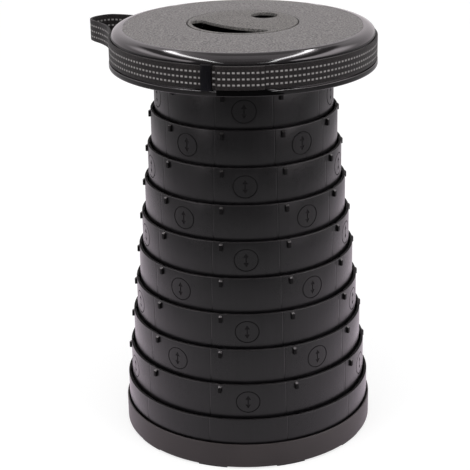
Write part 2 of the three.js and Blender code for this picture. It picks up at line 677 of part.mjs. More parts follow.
// A closed rectangular keeper round the strap
function strapKeeper() {
  const strapInside = facetRadius(STRAP_INNER_RADIUS, KEEPER_AZIMUTH);
  const strapOutside = facetRadius(STRAP_OUTER_RADIUS, KEEPER_AZIMUTH);
  const strapTop = STRAP_BOTTOM_Z + STRAP_WIDTH;
  const side = rectangleShape(
    strapInside - SEAT_GAP - KEEPER_LEG,
    strapOutside + SEAT_GAP + KEEPER_FACE,
    STRAP_BOTTOM_Z - SEAT_GAP - KEEPER_LEG,
    strapTop + SEAT_GAP + KEEPER_LEG,
  );
  side.holes.push(rectangleShape(
    strapInside - SEAT_GAP,
    strapOutside + SEAT_GAP,
    STRAP_BOTTOM_Z - SEAT_GAP,
    strapTop + SEAT_GAP,
  ));
  const keeper = solidOf(standOut(side, KEEPER_LENGTH, KEEPER_AZIMUTH, KEEPER_SHIFT));
  return part('strap_keeper', geometryOf(keeper), keeperPlastic);
}

function basePan() {
  let solid = solidOf(revolve([
    [0, PAN_CLEARANCE],
    [PAN_RADIUS - PAN_EDGE, PAN_CLEARANCE],
    [PAN_RADIUS, PAN_CLEARANCE + PAN_EDGE],
    [PAN_RADIUS, PAN_RIM_Z],
    [PAN_INNER_RADIUS, PAN_RIM_Z],
    [PAN_INNER_RADIUS, PAN_FLOOR_Z],
    [0, PAN_FLOOR_Z],
  ]));
  const ribEnd = BASE_SECTION_RADIUS - SECTION_WALL - PAN_RIB_MARGIN;
  const ribSide = rectangleShape(PAN_RIB_INNER, ribEnd, PAN_FLOOR_Z - PAN_FLOOR / 2, PAN_FLOOR_Z + PAN_RIB_HEIGHT);
  solid = addAll(solid, azimuths(PAN_RIB_COUNT).map((azimuth) =>
    solidOf(standOut(ribSide, PAN_RIB_WIDTH, azimuth))));
  solid = addAll(solid, azimuths(SNAP_COUNT, FACET_MIDDLE).map((azimuth) =>
    solidOf(sector(
      BASE_SECTION_RADIUS - SNAP_TIP_INSET,
      PAN_INNER_RADIUS + PAN_WALL / 2,
      azimuth - SNAP_SPAN / 2,
      azimuth + SNAP_SPAN / 2,
      SNAP_Z,
      SNAP_Z + SNAP_HEIGHT,
    )),
  ));
  const play = SEAT_GAP / PAD_OUTER_RADIUS;
  solid = subtractAll(solid, azimuths(PAD_COUNT, PAD_AZIMUTH).map((azimuth) =>
    solidOf(sector(
      PAD_INNER_RADIUS - SEAT_GAP,
      PAD_OUTER_RADIUS + SEAT_GAP,
      azimuth - PAD_SPAN / 2 - play,
      azimuth + PAD_SPAN / 2 + play,
      PAN_CLEARANCE - OVERRUN,
      PAD_THICKNESS + SEAT_GAP,
    )),
  ));
  solid = solid.subtract(solidOf(disc(CENTRE_PAD_RADIUS + SEAT_GAP, -OVERRUN, PAD_THICKNESS + SEAT_GAP)));
  return part('base_pan', geometryOf(solid), basePlastic);
}

function disc(radius, bottom, top) {
  return revolve([[0, bottom], [radius, bottom], [radius, top], [0, top]], DISC_FACETS);
}

function footPads() {
  return azimuths(PAD_COUNT, PAD_AZIMUTH).map((azimuth, index) => {
    const from = azimuth - PAD_SPAN / 2;
    const to = azimuth + PAD_SPAN / 2;
    const pad = sector(PAD_INNER_RADIUS, PAD_OUTER_RADIUS, from, to, 0, PAD_THICKNESS);
    return part(`foot_pad_${index + 1}`, geometryOf(solidOf(pad)), padRubber);
  });
}

function centrePad() {
  return part('centre_pad', geometryOf(solidOf(disc(CENTRE_PAD_RADIUS, 0, PAD_THICKNESS))), padRubber);
}

const base = new THREE.Group();
base.add(basePan(), baseSection(), centrePad(), ...footPads());

const freeSections = new THREE.Group();
for (let index = 1; index < SLIDE_COUNT; index += 1) {
  freeSections.add(freeSection(index));
}

const seat = new THREE.Group();
seat.add(seatTube(), clampRing(), seatCover(), seatInsert(), carryStrap(), strapKeeper(), ...seatScrews());

const stool = new THREE.Group();
stool.add(base, freeSections, seat);

export default stool;
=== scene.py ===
"""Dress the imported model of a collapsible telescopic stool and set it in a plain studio.

Lengths are in metres, +Z is up and the front is -Y. An azimuth is an angle about the axis of
the tube sections: 0 is the front, and it grows towards +X.
"""

import logging
import math
from collections.abc import Callable
from dataclasses import dataclass
from enum import Enum
from math import radians

import bmesh
import bpy
from mathutils import Matrix, Vector


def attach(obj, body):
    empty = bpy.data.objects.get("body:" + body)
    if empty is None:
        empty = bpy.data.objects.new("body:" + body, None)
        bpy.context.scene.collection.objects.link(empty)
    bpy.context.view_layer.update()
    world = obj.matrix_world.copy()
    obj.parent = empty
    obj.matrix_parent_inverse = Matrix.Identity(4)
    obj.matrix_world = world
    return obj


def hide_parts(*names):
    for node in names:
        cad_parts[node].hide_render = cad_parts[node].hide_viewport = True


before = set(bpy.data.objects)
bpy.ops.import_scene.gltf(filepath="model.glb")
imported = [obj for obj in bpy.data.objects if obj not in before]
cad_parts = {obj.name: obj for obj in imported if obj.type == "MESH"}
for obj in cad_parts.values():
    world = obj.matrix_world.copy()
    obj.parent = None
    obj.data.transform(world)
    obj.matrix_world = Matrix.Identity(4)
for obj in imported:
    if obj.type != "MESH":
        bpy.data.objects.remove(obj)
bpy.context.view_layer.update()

MM = 0.001
FULL_TURN = 2 * math.pi
RING_STEPS = 180
ROUNDING_STEPS = 4
SAME_PLACE = MM / 50
WELD = MM / 1000

Colour = tuple[float, float, float, float]
Corner = tuple[float, float]
Range = tuple[float, float]
Place = tuple[float, float, float]
Piece = bpy.types.Object
Finish = bpy.types.Material
Inputs = dict[int | str, object]

WHITE: Colour = (1.0, 1.0, 1.0, 1.0)

logging.basicConfig(level=logging.INFO, format="%(message)s")
log = logging.getLogger("stool")


class Slot(Enum):
    """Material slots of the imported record."""

    BASE = "base_plastic"
    SECTION = "section_plastic"
    SEAT = "seat_plastic"
    INSERT = "insert_plastic"
    STRAP = "strap_webbing"
    KEEPER = "keeper_plastic"
    PAD = "pad_rubber"


def polar(radius: float, azimuth: float, height: float = 0.0) -> Vector:
    """Turn a radius, an azimuth and a height into a place."""
    return Vector((radius * math.sin(azimuth), -radius * math.cos(azimuth), height))


def equal_azimuths(count: int, first: float = 0.0) -> list[float]:
    """List a number of azimuths at equal steps from the first."""
    return [first + index * FULL_TURN / count for index in range(count)]


def oblong(inner: float, outer: float, low: float, high: float) -> list[Corner]:
    """List the corners of an oblong profile between two radii and two heights."""
    return [(inner, low), (outer, low), (outer, high), (inner, high)]


def shade(colour: Colour, factor: float) -> Colour:
    """Scale a colour's brightness."""
    return (*(min(1.0, factor * value) for value in colour[:3]), 1.0)


class Workbench:
    """Modelling moves that the pieces share, made with Blender's own operators."""

    @staticmethod
    def clear() -> None:
        """Leave edit mode and deselect everything."""
        if bpy.context.mode != "OBJECT":
            bpy.ops.object.mode_set(mode="OBJECT")
        bpy.ops.object.select_all(action="DESELECT")

    @classmethod
    def pick(cls, piece: Piece) -> None:
        """Select one piece and make it active.

        Args:
            piece: The piece.
        """
        cls.clear()
        piece.select_set(True)
        bpy.context.view_layer.objects.active = piece

    @classmethod
    def edit(cls, piece: Piece) -> None:
        """Open a piece in edit mode with all of it selected.

        Args:
            piece: The piece.
        """
        cls.pick(piece)
        bpy.ops.object.mode_set(mode="EDIT")
        bpy.ops.mesh.select_mode(type="VERT")
        bpy.ops.mesh.select_all(action="SELECT")

    @staticmethod
    def select_where(piece: Piece, test: Callable[[Vector], bool]) -> None:
        """Select the vertices of the piece in edit mode that pass a test.

        Args:
            piece: The piece in edit mode.
            test: Says of a vertex's place whether it is selected.
        """
        mesh = bmesh.from_edit_mesh(piece.data)
        for vertex in mesh.verts:
            vertex.select = bool(test(vertex.co))
        mesh.select_flush_mode()
        bmesh.update_edit_mesh(piece.data)

    @classmethod
    def outline(cls, name: str, corners: list[Vector]) -> Piece:
        """Draw a flat face by extruding a single vertex from corner to corner.

        Args:
            name: The piece's name.
            corners: The corners in order.

        Returns:
            The piece, in edit mode, all selected.
        """
        cls.clear()
        bpy.ops.mesh.primitive_plane_add(size=MM)
        piece = bpy.context.object
        piece.name = name
        cls.edit(piece)
        bpy.ops.mesh.merge(type="CENTER")
        bpy.ops.transform.translate(value=corners[0])
        for before, after in zip(corners, corners[1:]):
            bpy.ops.mesh.extrude_vertices_move(TRANSFORM_OT_translate={"value": after - before})
        bpy.ops.mesh.select_all(action="SELECT")
        bpy.ops.mesh.edge_face_add()
        return piece

    @classmethod
    def thicken(cls, depth: Vector) -> None:
        """Extrude the flat face in edit mode into a closed solid, and leave edit mode.

        Args:
            depth: How far and which way it is extruded.
        """
        bpy.ops.mesh.select_all(action="SELECT")
        bpy.ops.mesh.extrude_region_move(TRANSFORM_OT_translate={"value": depth})
        bpy.ops.mesh.select_all(action="SELECT")
        bpy.ops.mesh.normals_make_consistent(inside=False)
        cls.clear()

    @classmethod
    def prism(cls, name: str, corners: list[Vector], depth: Vector) -> Piece:
        """Draw a flat face and extrude it.

        Args:
            name: The piece's name.
            corners: The face's corners in order.
            depth: How far and which way it is extruded.

        Returns:
            The solid.
        """
        piece = cls.outline(name, corners)
        cls.thicken(depth)
        return piece

    @staticmethod
    def _turn(piece: Piece, steps: int, sweep: float) -> None:
        """Spin the outline in edit mode about the stool's axis into a closed solid.

        Args:
            piece: The outline, drawn in the plane of its first azimuth.
            steps: Number of facets over the sweep.
            sweep: The angle that it is turned through.
        """
        bpy.ops.mesh.select_all(action="SELECT")
        bpy.ops.mesh.delete(type="ONLY_FACE")
        bpy.ops.mesh.select_all(action="DESELECT")
        bpy.ops.mesh.select_mode(type="EDGE")
        mesh = bmesh.from_edit_mesh(piece.data)
        for edge in mesh.edges:
            edge.select = all(vertex.co.xy.length < SAME_PLACE for vertex in edge.verts)
        on_axis = any(edge.select for edge in mesh.edges)
        bmesh.update_edit_mesh(piece.data)
        if on_axis:
            bpy.ops.mesh.delete(type="EDGE")
        bpy.ops.mesh.select_mode(type="VERT")
        bpy.ops.mesh.select_all(action="SELECT")
        bpy.ops.mesh.spin(steps=steps, angle=-sweep, center=(0, 0, 0), axis=(0, 0, 1))
        bpy.ops.mesh.select_all(action="SELECT")
        bpy.ops.mesh.remove_doubles(threshold=WELD)
        if sweep < FULL_TURN:
            bpy.ops.mesh.fill_holes(sides=0)
        bpy.ops.mesh.normals_make_consistent(inside=False)

    @classmethod
    def lathe(
        cls,
        name: str,
        profile: list[Corner],
        roundings: dict[int, float] | None = None,
        azimuth: float = 0.0,
        sweep: float = FULL_TURN,
        steps: int = RING_STEPS,
    ) -> Piece:
        """Turn a profile about the stool's axis.

        Args:
            name: The piece's name.
            profile: Corners as radius and height.
            roundings: How far a rounding reaches, by the corner's number.
            azimuth: Where the sweep begins.
            sweep: The angle that it is turned through.
            steps: Number of facets over the sweep.

        Returns:
            The piece.
        """
        corners = [polar(radius, azimuth, height) for radius, height in profile]
        piece = cls.outline(name, corners)
        for reach in sorted(set((roundings or {}).values())):
            chosen = [corners[index] for index, value in roundings.items() if value == reach]
            cls.select_where(
                piece, lambda place: any((place - corner).length < SAME_PLACE for corner in chosen)
            )
            bpy.ops.mesh.bevel(offset=reach, segments=ROUNDING_STEPS, affect="VERTICES")
        cls._turn(piece, steps, sweep)
        cls.clear()
        return piece

    @classmethod
    def block(cls, name: str, lowest: Vector, highest: Vector) -> Piece:
        """Add a block between two corners.

        Args:
            name: The piece's name.
            lowest: The corner with the lowest coordinates.
            highest: The corner with the highest coordinates.

        Returns:
            The block.
        """
        cls.clear()
        bpy.ops.mesh.primitive_cube_add(size=1)
        piece = bpy.context.object
        piece.name = name
        cls.edit(piece)
        bpy.ops.transform.resize(value=highest - lowest)
        bpy.ops.transform.translate(value=(lowest + highest) / 2)
        cls.clear()
        return piece

    @classmethod
    def cylinder(cls, middle: Vector, radius: float, depth: float, vertices: int) -> Piece:
        """Add an upright cylinder.

        Args:
            middle: Its middle.
            radius: Its radius.
            depth: Its height.
            vertices: Number of its sides.

        Returns:
            The cylinder.
        """
        cls.clear()
        bpy.ops.mesh.primitive_cylinder_add(vertices=vertices, radius=radius, depth=depth, location=middle)
        bpy.ops.object.transform_apply(location=True)
        return bpy.context.object

    @classmethod
    def lower(cls, piece: Piece, test: Callable[[Vector], bool], drop: float) -> None:
        """Move some of a piece's vertices straight down.

        Args:
            piece: The piece.
            test: Says of a vertex's place whether it is moved.
            drop: How far.
        """
        cls.edit(piece)
        cls.select_where(piece, test)
        bpy.ops.transform.translate(value=(0, 0, -drop))
        cls.clear()

    @classmethod
    def apply(cls, piece: Piece, kind: str, **settings: object) -> None:
        """Add a modifier to a piece and apply it.

        Args:
            piece: The piece.
            kind: The modifier's type name.
            settings: Properties to set on it.
        """
        cls.pick(piece)
        modifier = piece.modifiers.new(kind.lower(), kind)
        for key, value in settings.items():
            setattr(modifier, key, value)
        bpy.ops.object.modifier_apply(modifier=modifier.name)

    @classmethod
    def round_edges(cls, piece: Piece, width: float, steps: int = 2, angle: float = 35.0) -> None:
        """Round the edges of a piece that are sharper than an angle in degrees."""
        limit = {"limit_method": "ANGLE", "angle_limit": radians(angle)}
        cls.apply(piece, "BEVEL", width=width, segments=steps, **limit)

    @classmethod
    def cut(cls, piece: Piece, tool: Piece) -> None:
        """Cut a solid with another, which is used up."""
        cls.apply(piece, "BOOLEAN", operation="DIFFERENCE", solver="EXACT", object=tool)
        bpy.data.objects.remove(tool)

    @classmethod
    def join(cls, pieces: list[Piece]) -> Piece:
        """Join pieces into the first of them.

        Args:
            pieces: The pieces.

        Returns:
            The first piece, which holds them all.
        """
        cls.pick(pieces[0])
        for piece in pieces[1:]:
            piece.select_set(True)
        if len(pieces) > 1:
            bpy.ops.object.join()
        return pieces[0]

    @classmethod
    def around(cls, piece: Piece, azimuths: list[float]) -> Piece:
        """Repeat a piece round the stool's axis, as one mesh.

        Args:
            piece: The piece, modelled at azimuth 0.
            azimuths: Where its copies stand.

        Returns:
            The copies, joined.
        """
        cls.clear()
        copies = [piece]
        for azimuth in azimuths[1:]:
            copy = piece.copy()
            copy.data = piece.data.copy()
            bpy.context.scene.collection.objects.link(copy)
            copy.data.transform(Matrix.Rotation(azimuth, 4, "Z"))
            copies.append(copy)
        piece.data.transform(Matrix.Rotation(azimuths[0], 4, "Z"))
        return cls.join(copies)


def paint(piece: Piece, finishes: list[Finish], second: Callable[[Vector], bool]) -> None:
    """Give a piece two materials.

    Args:
        piece: The piece.
        finishes: The two materials.
        second: Says of a face's normal whether the face wears the second.
    """
    for finish in finishes:
        piece.data.materials.append(finish)
    for face in piece.data.polygons:
        face.material_index = int(second(face.normal))


def fit(piece: Piece, finish: Finish, body: str, slot: Slot, *nodes: str, angle: float = 32.0) -> None:
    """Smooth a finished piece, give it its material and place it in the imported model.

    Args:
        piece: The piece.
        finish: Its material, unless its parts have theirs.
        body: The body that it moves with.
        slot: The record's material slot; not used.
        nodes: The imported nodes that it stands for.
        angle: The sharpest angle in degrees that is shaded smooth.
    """
    Workbench.pick(piece)
    bpy.ops.object.shade_smooth_by_angle(angle=radians(angle))
    if not piece.data.materials:
        piece.data.materials.append(finish)
    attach(piece, body)
    if nodes:
        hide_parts(*nodes)


def reckon(operation: str, swapped: bool = False) -> Callable:
    """Make an operator of Signal that adds a Math node.

    Args:
        operation: The node's operation.
        swapped: Whether the other value comes first.

    Returns:
        The operator.
    """

    def act(signal: "Signal", *others: object) -> "Signal":
        """Add the node and give its result."""
        return signal.board.maths(operation, *((*others, signal) if swapped else (signal, *others)))

    return act


class Signal:
    """The output of a node, to reckon with: each operation adds a node to its tree."""

    __add__ = __radd__ = reckon("ADD")
    __sub__ = reckon("SUBTRACT")
    __rsub__ = reckon("SUBTRACT", swapped=True)
    __mul__ = __rmul__ = reckon("MULTIPLY")
    __truediv__ = reckon("DIVIDE")
    __abs__ = reckon("ABSOLUTE")
    __round__ = reckon("ROUND")
    most = reckon("MAXIMUM")
    least = reckon("MINIMUM")

    def __init__(self, socket: bpy.types.NodeSocket) -> None:
        """Take the output socket, and a board for its tree."""
        self.socket = socket
        self.board = NodeBoard(socket.id_data)

    def rise(self, low: object, high: object) -> "Signal":
        """Rise smoothly from 0 at the low value to 1 at the high one."""
        inputs = {"Value": self, "From Min": low, "From Max": high}
        return self.board.read("ShaderNodeMapRange", inputs, interpolation_type="SMOOTHSTEP")


class NodeBoard:
    """Places nodes on a node tree and joins their sockets."""

    def __init__(self, tree: bpy.types.NodeTree) -> None:
        """Take the tree to work on."""
        self.tree = tree

    def feed(self, node: bpy.types.Node, inputs: Inputs) -> None:
        """Join signals to a node's inputs, or set their values.

        Args:
            node: The node that is fed.
            inputs: A signal, a number or a colour by the input's name or number.
        """
        for key, source in inputs.items():
            if isinstance(source, Signal):
                self.tree.links.new(source.socket, node.inputs[key])
            else:
                node.inputs[key].default_value = source

    def add(self, kind: str, inputs: Inputs | None = None, **settings: object) -> bpy.types.Node:
        """Add a node and feed it.

        Args:
            kind: The node's type name.
            inputs: What feeds it, by the input's name or number.
            settings: Properties to set on it.

        Returns:
            The node.
        """
        node = self.tree.nodes.new(kind)
        for key, value in settings.items():
            setattr(node, key, value)
        self.feed(node, inputs or {})
        return node

    def read(
        self, kind: str, inputs: Inputs | None = None, output: int | str = 0, **settings: object
    ) -> Signal:
        """Add a node and give the output of that name or number."""
        return Signal(self.add(kind, inputs, **settings).outputs[output])

    def maths(self, operation: str, *values: object) -> Signal:
        """Add a Math node that works on signals or numbers."""
        return self.read("ShaderNodeMath", dict(enumerate(values)), operation=operation)

    def split(self, vector: Signal) -> list[Signal]:
        """Give the three parts of a vector."""
        return [Signal(part) for part in self.add("ShaderNodeSeparateXYZ", {0: vector}).outputs]

    def mix(self, factor: object, first: object, second: object) -> Signal:
        """Mix two colours, from the first at a factor of 0 to the second at 1."""
        return self.read("ShaderNodeMix", {0: factor, 6: first, 7: second}, 2, data_type="RGBA")

    def noise(self, vector: Signal, scale: object, detail: float) -> Signal:
        """Add noise from 0 to 1, at a scale in turns a metre."""
        return self.read("ShaderNodeTexNoise", {"Vector": vector, "Scale": scale, "Detail": detail})

    def bump(self, height: Signal, strength: float = 1.0) -> Signal:
        """Turn a height in metres into a normal."""
        return self.read("ShaderNodeBump", {"Strength": strength, "Distance": 1.0, "Height": height})

    def ray(self, kind: str) -> Signal:
        """Tell whether a ray is of a kind."""
        return self.read("ShaderNodeLightPath", None, f"Is {kind} Ray")

    def group(self, tree: bpy.types.NodeTree, **inputs: object) -> list[Signal]:
        """Add a node group and give its outputs."""
        return [Signal(part) for part in self.add("ShaderNodeGroup", inputs, node_tree=tree).outputs]


class Effects:
    """Shader node groups that several finishes share."""

    def __init__(self) -> None:
        """Build each group once."""
        self.grain = self._grain()
        self.seams = self._seams()
        self.streaks = self._streaks()
        self.dust = self._dust()

    @staticmethod
    def _open(name: str, numbers: tuple[str, ...]) -> tuple[NodeBoard, list[Signal]]:
        """Start a group that takes a vector and some numbers.

        Args:
            name: The group's name.
            numbers: The names of the numbers.

        Returns:
            The board, and what is given to the group.
        """
        tree = bpy.data.node_groups.new(name, "ShaderNodeTree")
        tree.interface.new_socket("Vector", in_out="INPUT", socket_type="NodeSocketVector")
        for key in numbers:
            tree.interface.new_socket(key, in_out="INPUT", socket_type="NodeSocketFloat")
        board = NodeBoard(tree)
        given = board.add("NodeGroupInput").outputs
        return board, [Signal(given[key]) for key in ("Vector", *numbers)]

    @staticmethod
    def _close(board: NodeBoard, **results: Signal) -> bpy.types.NodeTree:
        """Finish a group.

        Args:
            board: The group's board.
            results: What it puts out, by name.

        Returns:
            The group.
        """
        for key in results:
            board.tree.interface.new_socket(key, in_out="OUTPUT", socket_type="NodeSocketFloat")
        board.add("NodeGroupOutput", results)
        return board.tree

    def _grain(self) -> bpy.types.NodeTree:
        """Build the fine grain of moulded plastic: a height, and a tone that drifts slowly.

        Returns:
            The group.
        """
        board, (places, grain, drift) = self._open("MouldGrain", ("Grain", "Drift"))
        fine = board.noise(places, grain, 1.0)
        coarse = board.noise(places, drift, 3.0)
        return self._close(board, Height=fine, Tone=(fine * 0.3 + coarse * 0.7).rise(0.3, 0.7))

    def _seams(self) -> bpy.types.NodeTree:
        """Build the fine upright lines that a split mould leaves round a tube.

        Returns:
            The group.
        """
        board, (places, count, first, width) = self._open("MouldSeams", ("Count", "First", "Width"))
        east, north, _ = board.split(places)
        azimuth = board.maths("ARCTAN2", east, north * -1.0)
        step = (azimuth - first) / FULL_TURN * count
        around = abs(step - round(step)) / count * FULL_TURN
        away = around * board.maths("SQRT", east * east + north * north)
        return self._close(board, Line=1.0 - away.rise(0.0, width))

    def _streaks(self) -> bpy.types.NodeTree:
        """Build the fine upright lines that drawing a part off its mould core leaves on it.

        Returns:
            The group.
        """
        board, (places, fineness) = self._open("DrawLines", ("Fineness",))
        drawn = board.read("ShaderNodeMapping", {"Vector": places, "Scale": (1.0, 1.0, 0.02)})
        fine = board.noise(drawn, fineness, 2.0)
        broad = board.noise(drawn, fineness * 0.22, 1.0)
        return self._close(board, Streak=(fine * 0.55 + broad * 0.45).rise(0.36, 0.64))

    def _dust(self) -> bpy.types.NodeTree:
        """Build the faint pale scuffs that handling leaves on dark plastic.

        Returns:
            The group.
        """
        board, (places, scale, amount) = self._open("HandlingScuffs", ("Scale", "Amount"))
        patches = board.noise(places, scale, 6.0).rise(0.52, 0.78)
        specks = board.noise(places, scale * 9.0, 2.0).rise(0.45, 0.8)
        return self._close(board, Scuff=patches * specks * amount)


def new_material(name: str) -> tuple[Finish, NodeBoard, bpy.types.Node, Signal]:
    """Start a material.

    Args:
        name: The material's name.

    Returns:
        The material, its board, its shader and the Object coordinates.
    """
    material = bpy.data.materials.new(name)
    material.use_nodes = True
    board = NodeBoard(material.node_tree)
    shader = material.node_tree.nodes["Principled BSDF"]
    return material, board, shader, board.read("ShaderNodeTexCoord", None, "Object")


@dataclass(frozen=True)
class MouldedPlastic:
    """Dark moulded plastic with a fine grain, mould seams and faint scuffs, and, where asked, painted shade
    on its upward-facing rims.
    """

    name: str
    dark: Colour
    light: Colour
    roughness: float
    specular: float = 0.5
    grain: float = 3200.0
    grain_depth: float = 0.04 * MM
    drift: float = 24.0
    seam_count: float = 0.0
    seam_first: float = radians(18)
    seam_width: float = 0.9 * MM
    seam_depth: float = 0.35 * MM
    streaks: float = 0.0
    streak_scale: float = 520.0
    streak_depth: float = 0.02 * MM
    streak_shade: float = 0.55
    seam_shade: float = 0.2
    seam_strength: float = 0.9
    scuffs: float = 0.25
    scuff_scale: float = 38.0
    scuff_shade: float = 2.2
    scuff_roughness: float = 0.2
    roughness_drift: float = 0.08
    # Rougher rims with painted shade: upward-facing faces, such as the rims' tops down in the joints between
    # sections, are painted darker.
    dull_and_shaded_rims: bool = False
    rim_normals: Range = (0.75, 0.95)
    rim_shade: float = 0.15
    rim_roughness: float = 0.95

    def material(self, effects: Effects) -> Finish:
        """Build the material.

        Args:
            effects: The shared node groups.

        Returns:
            The material.
        """
        material, board, shader, places = new_material(self.name)
        grain, tone = board.group(effects.grain, Vector=places, Grain=self.grain, Drift=self.drift)
        (scuff,) = board.group(effects.dust, Vector=places, Scale=self.scuff_scale, Amount=self.scuffs)
        colour = board.mix(tone, self.dark, self.light)
        colour = board.mix(scuff, colour, shade(self.light, self.scuff_shade))
        height = grain * self.grain_depth
        rough = tone * self.roughness_drift + (self.roughness - self.roughness_drift / 2)
        rough = rough + scuff * self.scuff_roughness
        if self.streaks:
            (streak,) = board.group(effects.streaks, Vector=places, Fineness=self.streak_scale)
            colour = board.mix(streak * self.streaks, colour, shade(self.dark, self.streak_shade))
            height = height + streak * self.streak_depth
        if self.seam_count:
            seam = {"Count": self.seam_count, "First": self.seam_first, "Width": self.seam_width}
            (line,) = board.group(effects.seams, Vector=places, **seam)
            colour = board.mix(line * self.seam_strength, colour, shade(self.dark, self.seam_shade))
            height = height - line * self.seam_depth
        # Painted shade: faces that look upward, the rims' tops in the joints, are darkened, and also made
        # rougher.
        if self.dull_and_shaded_rims:
            upward = board.split(board.read("ShaderNodeTexCoord", None, "Normal"))[2]
            rim = upward.rise(*self.rim_normals)
            colour = board.mix(rim, colour, shade(self.dark, self.rim_shade))
            rough = rough.most(rim * self.rim_roughness)
        board.feed(shader, {"Base Color": colour, "Roughness": rough, "Normal": board.bump(height)})
        board.feed(shader, {"Specular IOR Level": self.specular})
        return material


@dataclass(frozen=True)
class SeatPlastic:
    """The seat's plastic: fine matte grain on top, in colours lightened with painted sheen, polished on the
    bevel and the rim.
    """

    name: str
    dark: Colour
    light: Colour
    # Colours of the matte face, far lighter than the plastic's own: its pale flecks plus painted sheen for
    # the overhead light that the top catches.
    matte_sheen_dark: Colour
    matte_sheen_light: Colour
    matte_radius: float
    matte_floor: float
    matte_roughness: float = 0.8
    gloss_roughness: float = 0.09
    speckle: float = 560.0
    speckle_depth: float = 0.14 * MM
    flecks: Range = (0.36, 0.64)
    drift: float = 18.0
    scuffs: float = 0.12
    scuff_scale: float = 30.0
    scuff_shade: float = 2.0
    scuff_roughness: float = 0.25

    def material(self, effects: Effects) -> Finish:
        """Build the material.

        Args:
            effects: The shared node groups.

        Returns:
            The material.
        """
        material, board, shader, places = new_material(self.name)
        east, north, up = board.split(places)
        radius = board.maths("SQRT", east * east + north * north)
        inside = board.maths("LESS_THAN", radius, self.matte_radius)
        matte = inside * board.maths("GREATER_THAN", up, self.matte_floor)
        grain, tone = board.group(effects.grain, Vector=places, Grain=self.speckle, Drift=self.drift)
        (scuff,) = board.group(effects.dust, Vector=places, Scale=self.scuff_scale, Amount=self.scuffs)
        polished = board.mix(tone, self.dark, self.light)
        # The matte face's flecked colour, lightened with painted sheen.
        speckle_and_sheen = board.mix(grain.rise(*self.flecks), self.matte_sheen_dark, self.matte_sheen_light)
        colour = board.mix(matte, polished, speckle_and_sheen)
        rough = matte * (self.matte_roughness - self.gloss_roughness) + self.gloss_roughness
        look = {
            "Base Color": board.mix(scuff, colour, shade(self.light, self.scuff_shade)),
            "Roughness": rough + scuff * self.scuff_roughness,
            "Normal": board.bump(grain * (matte * self.speckle_depth)),
        }
        board.feed(shader, look)
        return material


@dataclass(frozen=True)
class Webbing:
    """Black woven webbing with rows of pale stitches, on the strap's own UV map in metres."""

    name: str
    dark: Colour
    light: Colour
    thread: Colour
    stitch_pitch: float = 4.7 * MM
    stitch_length: float = 2.8 * MM
    stitch_width: float = 2.0 * MM
    stitch_height: float = 0.28 * MM
    stitch_rows: tuple[float, ...] = (-6.6 * MM, -0.6 * MM, 5.6 * MM)
    rib_pitch: float = 1.15 * MM
    cord_pitch: float = 0.75 * MM
    weave_height: float = 0.06 * MM
    mottle_scale: float = 640.0
    wear_scale: float = 420.0
    thread_shade: float = 0.62
    roughness: float = 0.82
    specular: float = 0.25
    sheen: float = 0.15

    def material(self) -> Finish:
        """Build the material.

        Returns:
            The material.
        """
        material, board, shader, places = new_material(self.name)
        along, across, _ = board.split(board.read("ShaderNodeUVMap", uv_map="run"))
        step = along / self.stitch_pitch
        off_end = abs(step - round(step)) * self.stitch_pitch - self.stitch_length / 2
        rows = 0.0
        for row in self.stitch_rows:
            off_row = abs(across - row)
            rows = (1.0 - off_row.rise(0.5 * MM, self.stitch_width / 2 + 0.3 * MM)).most(rows)
        stitch = (1.0 - off_end.rise(-0.5 * MM, 0.3 * MM)) * rows
        ribs = board.maths("SINE", along * (FULL_TURN / self.rib_pitch))
        weave = ribs * board.maths("SINE", across * (FULL_TURN / self.cord_pitch))
        mottle = board.noise(places, self.mottle_scale, 1.0) * 4.0 - 1.5
        colour = board.mix((weave * 0.5 + mottle).rise(-0.7, 1.9), self.dark, self.light)
        worn = board.noise(places, self.wear_scale, 3.0).rise(0.25, 0.75)
        thread = board.mix(worn, shade(self.thread, self.thread_shade), self.thread)
        look = {
            "Base Color": board.mix(stitch, colour, thread),
            "Roughness": self.roughness - stitch * 0.2,
            "Normal": board.bump(weave * self.weave_height + stitch * self.stitch_height, 0.9),
        }
        board.feed(shader, look)
        board.feed(shader, {"Specular IOR Level": self.specular, "Sheen Weight": self.sheen})
        return material


@dataclass(frozen=True)
class PlatedSteel:
    """Bright zinc-plated screws with a faint brushed grain."""

    name: str
    colour: Colour
    grain: float = 2000.0
    drift: float = 90.0

    def material(self, effects: Effects) -> Finish:
        """Build the material.

        Args:
            effects: The shared node groups.

        Returns:
            The material.
        """
        material, board, shader, places = new_material(self.name)
        tone = board.group(effects.grain, Vector=places, Grain=self.grain, Drift=self.drift)[1]
        colour = board.mix(tone, shade(self.colour, 0.7), self.colour)
        board.feed(shader, {"Base Color": colour, "Roughness": tone * 0.12 + 0.25, "Metallic": 1.0})
        return material


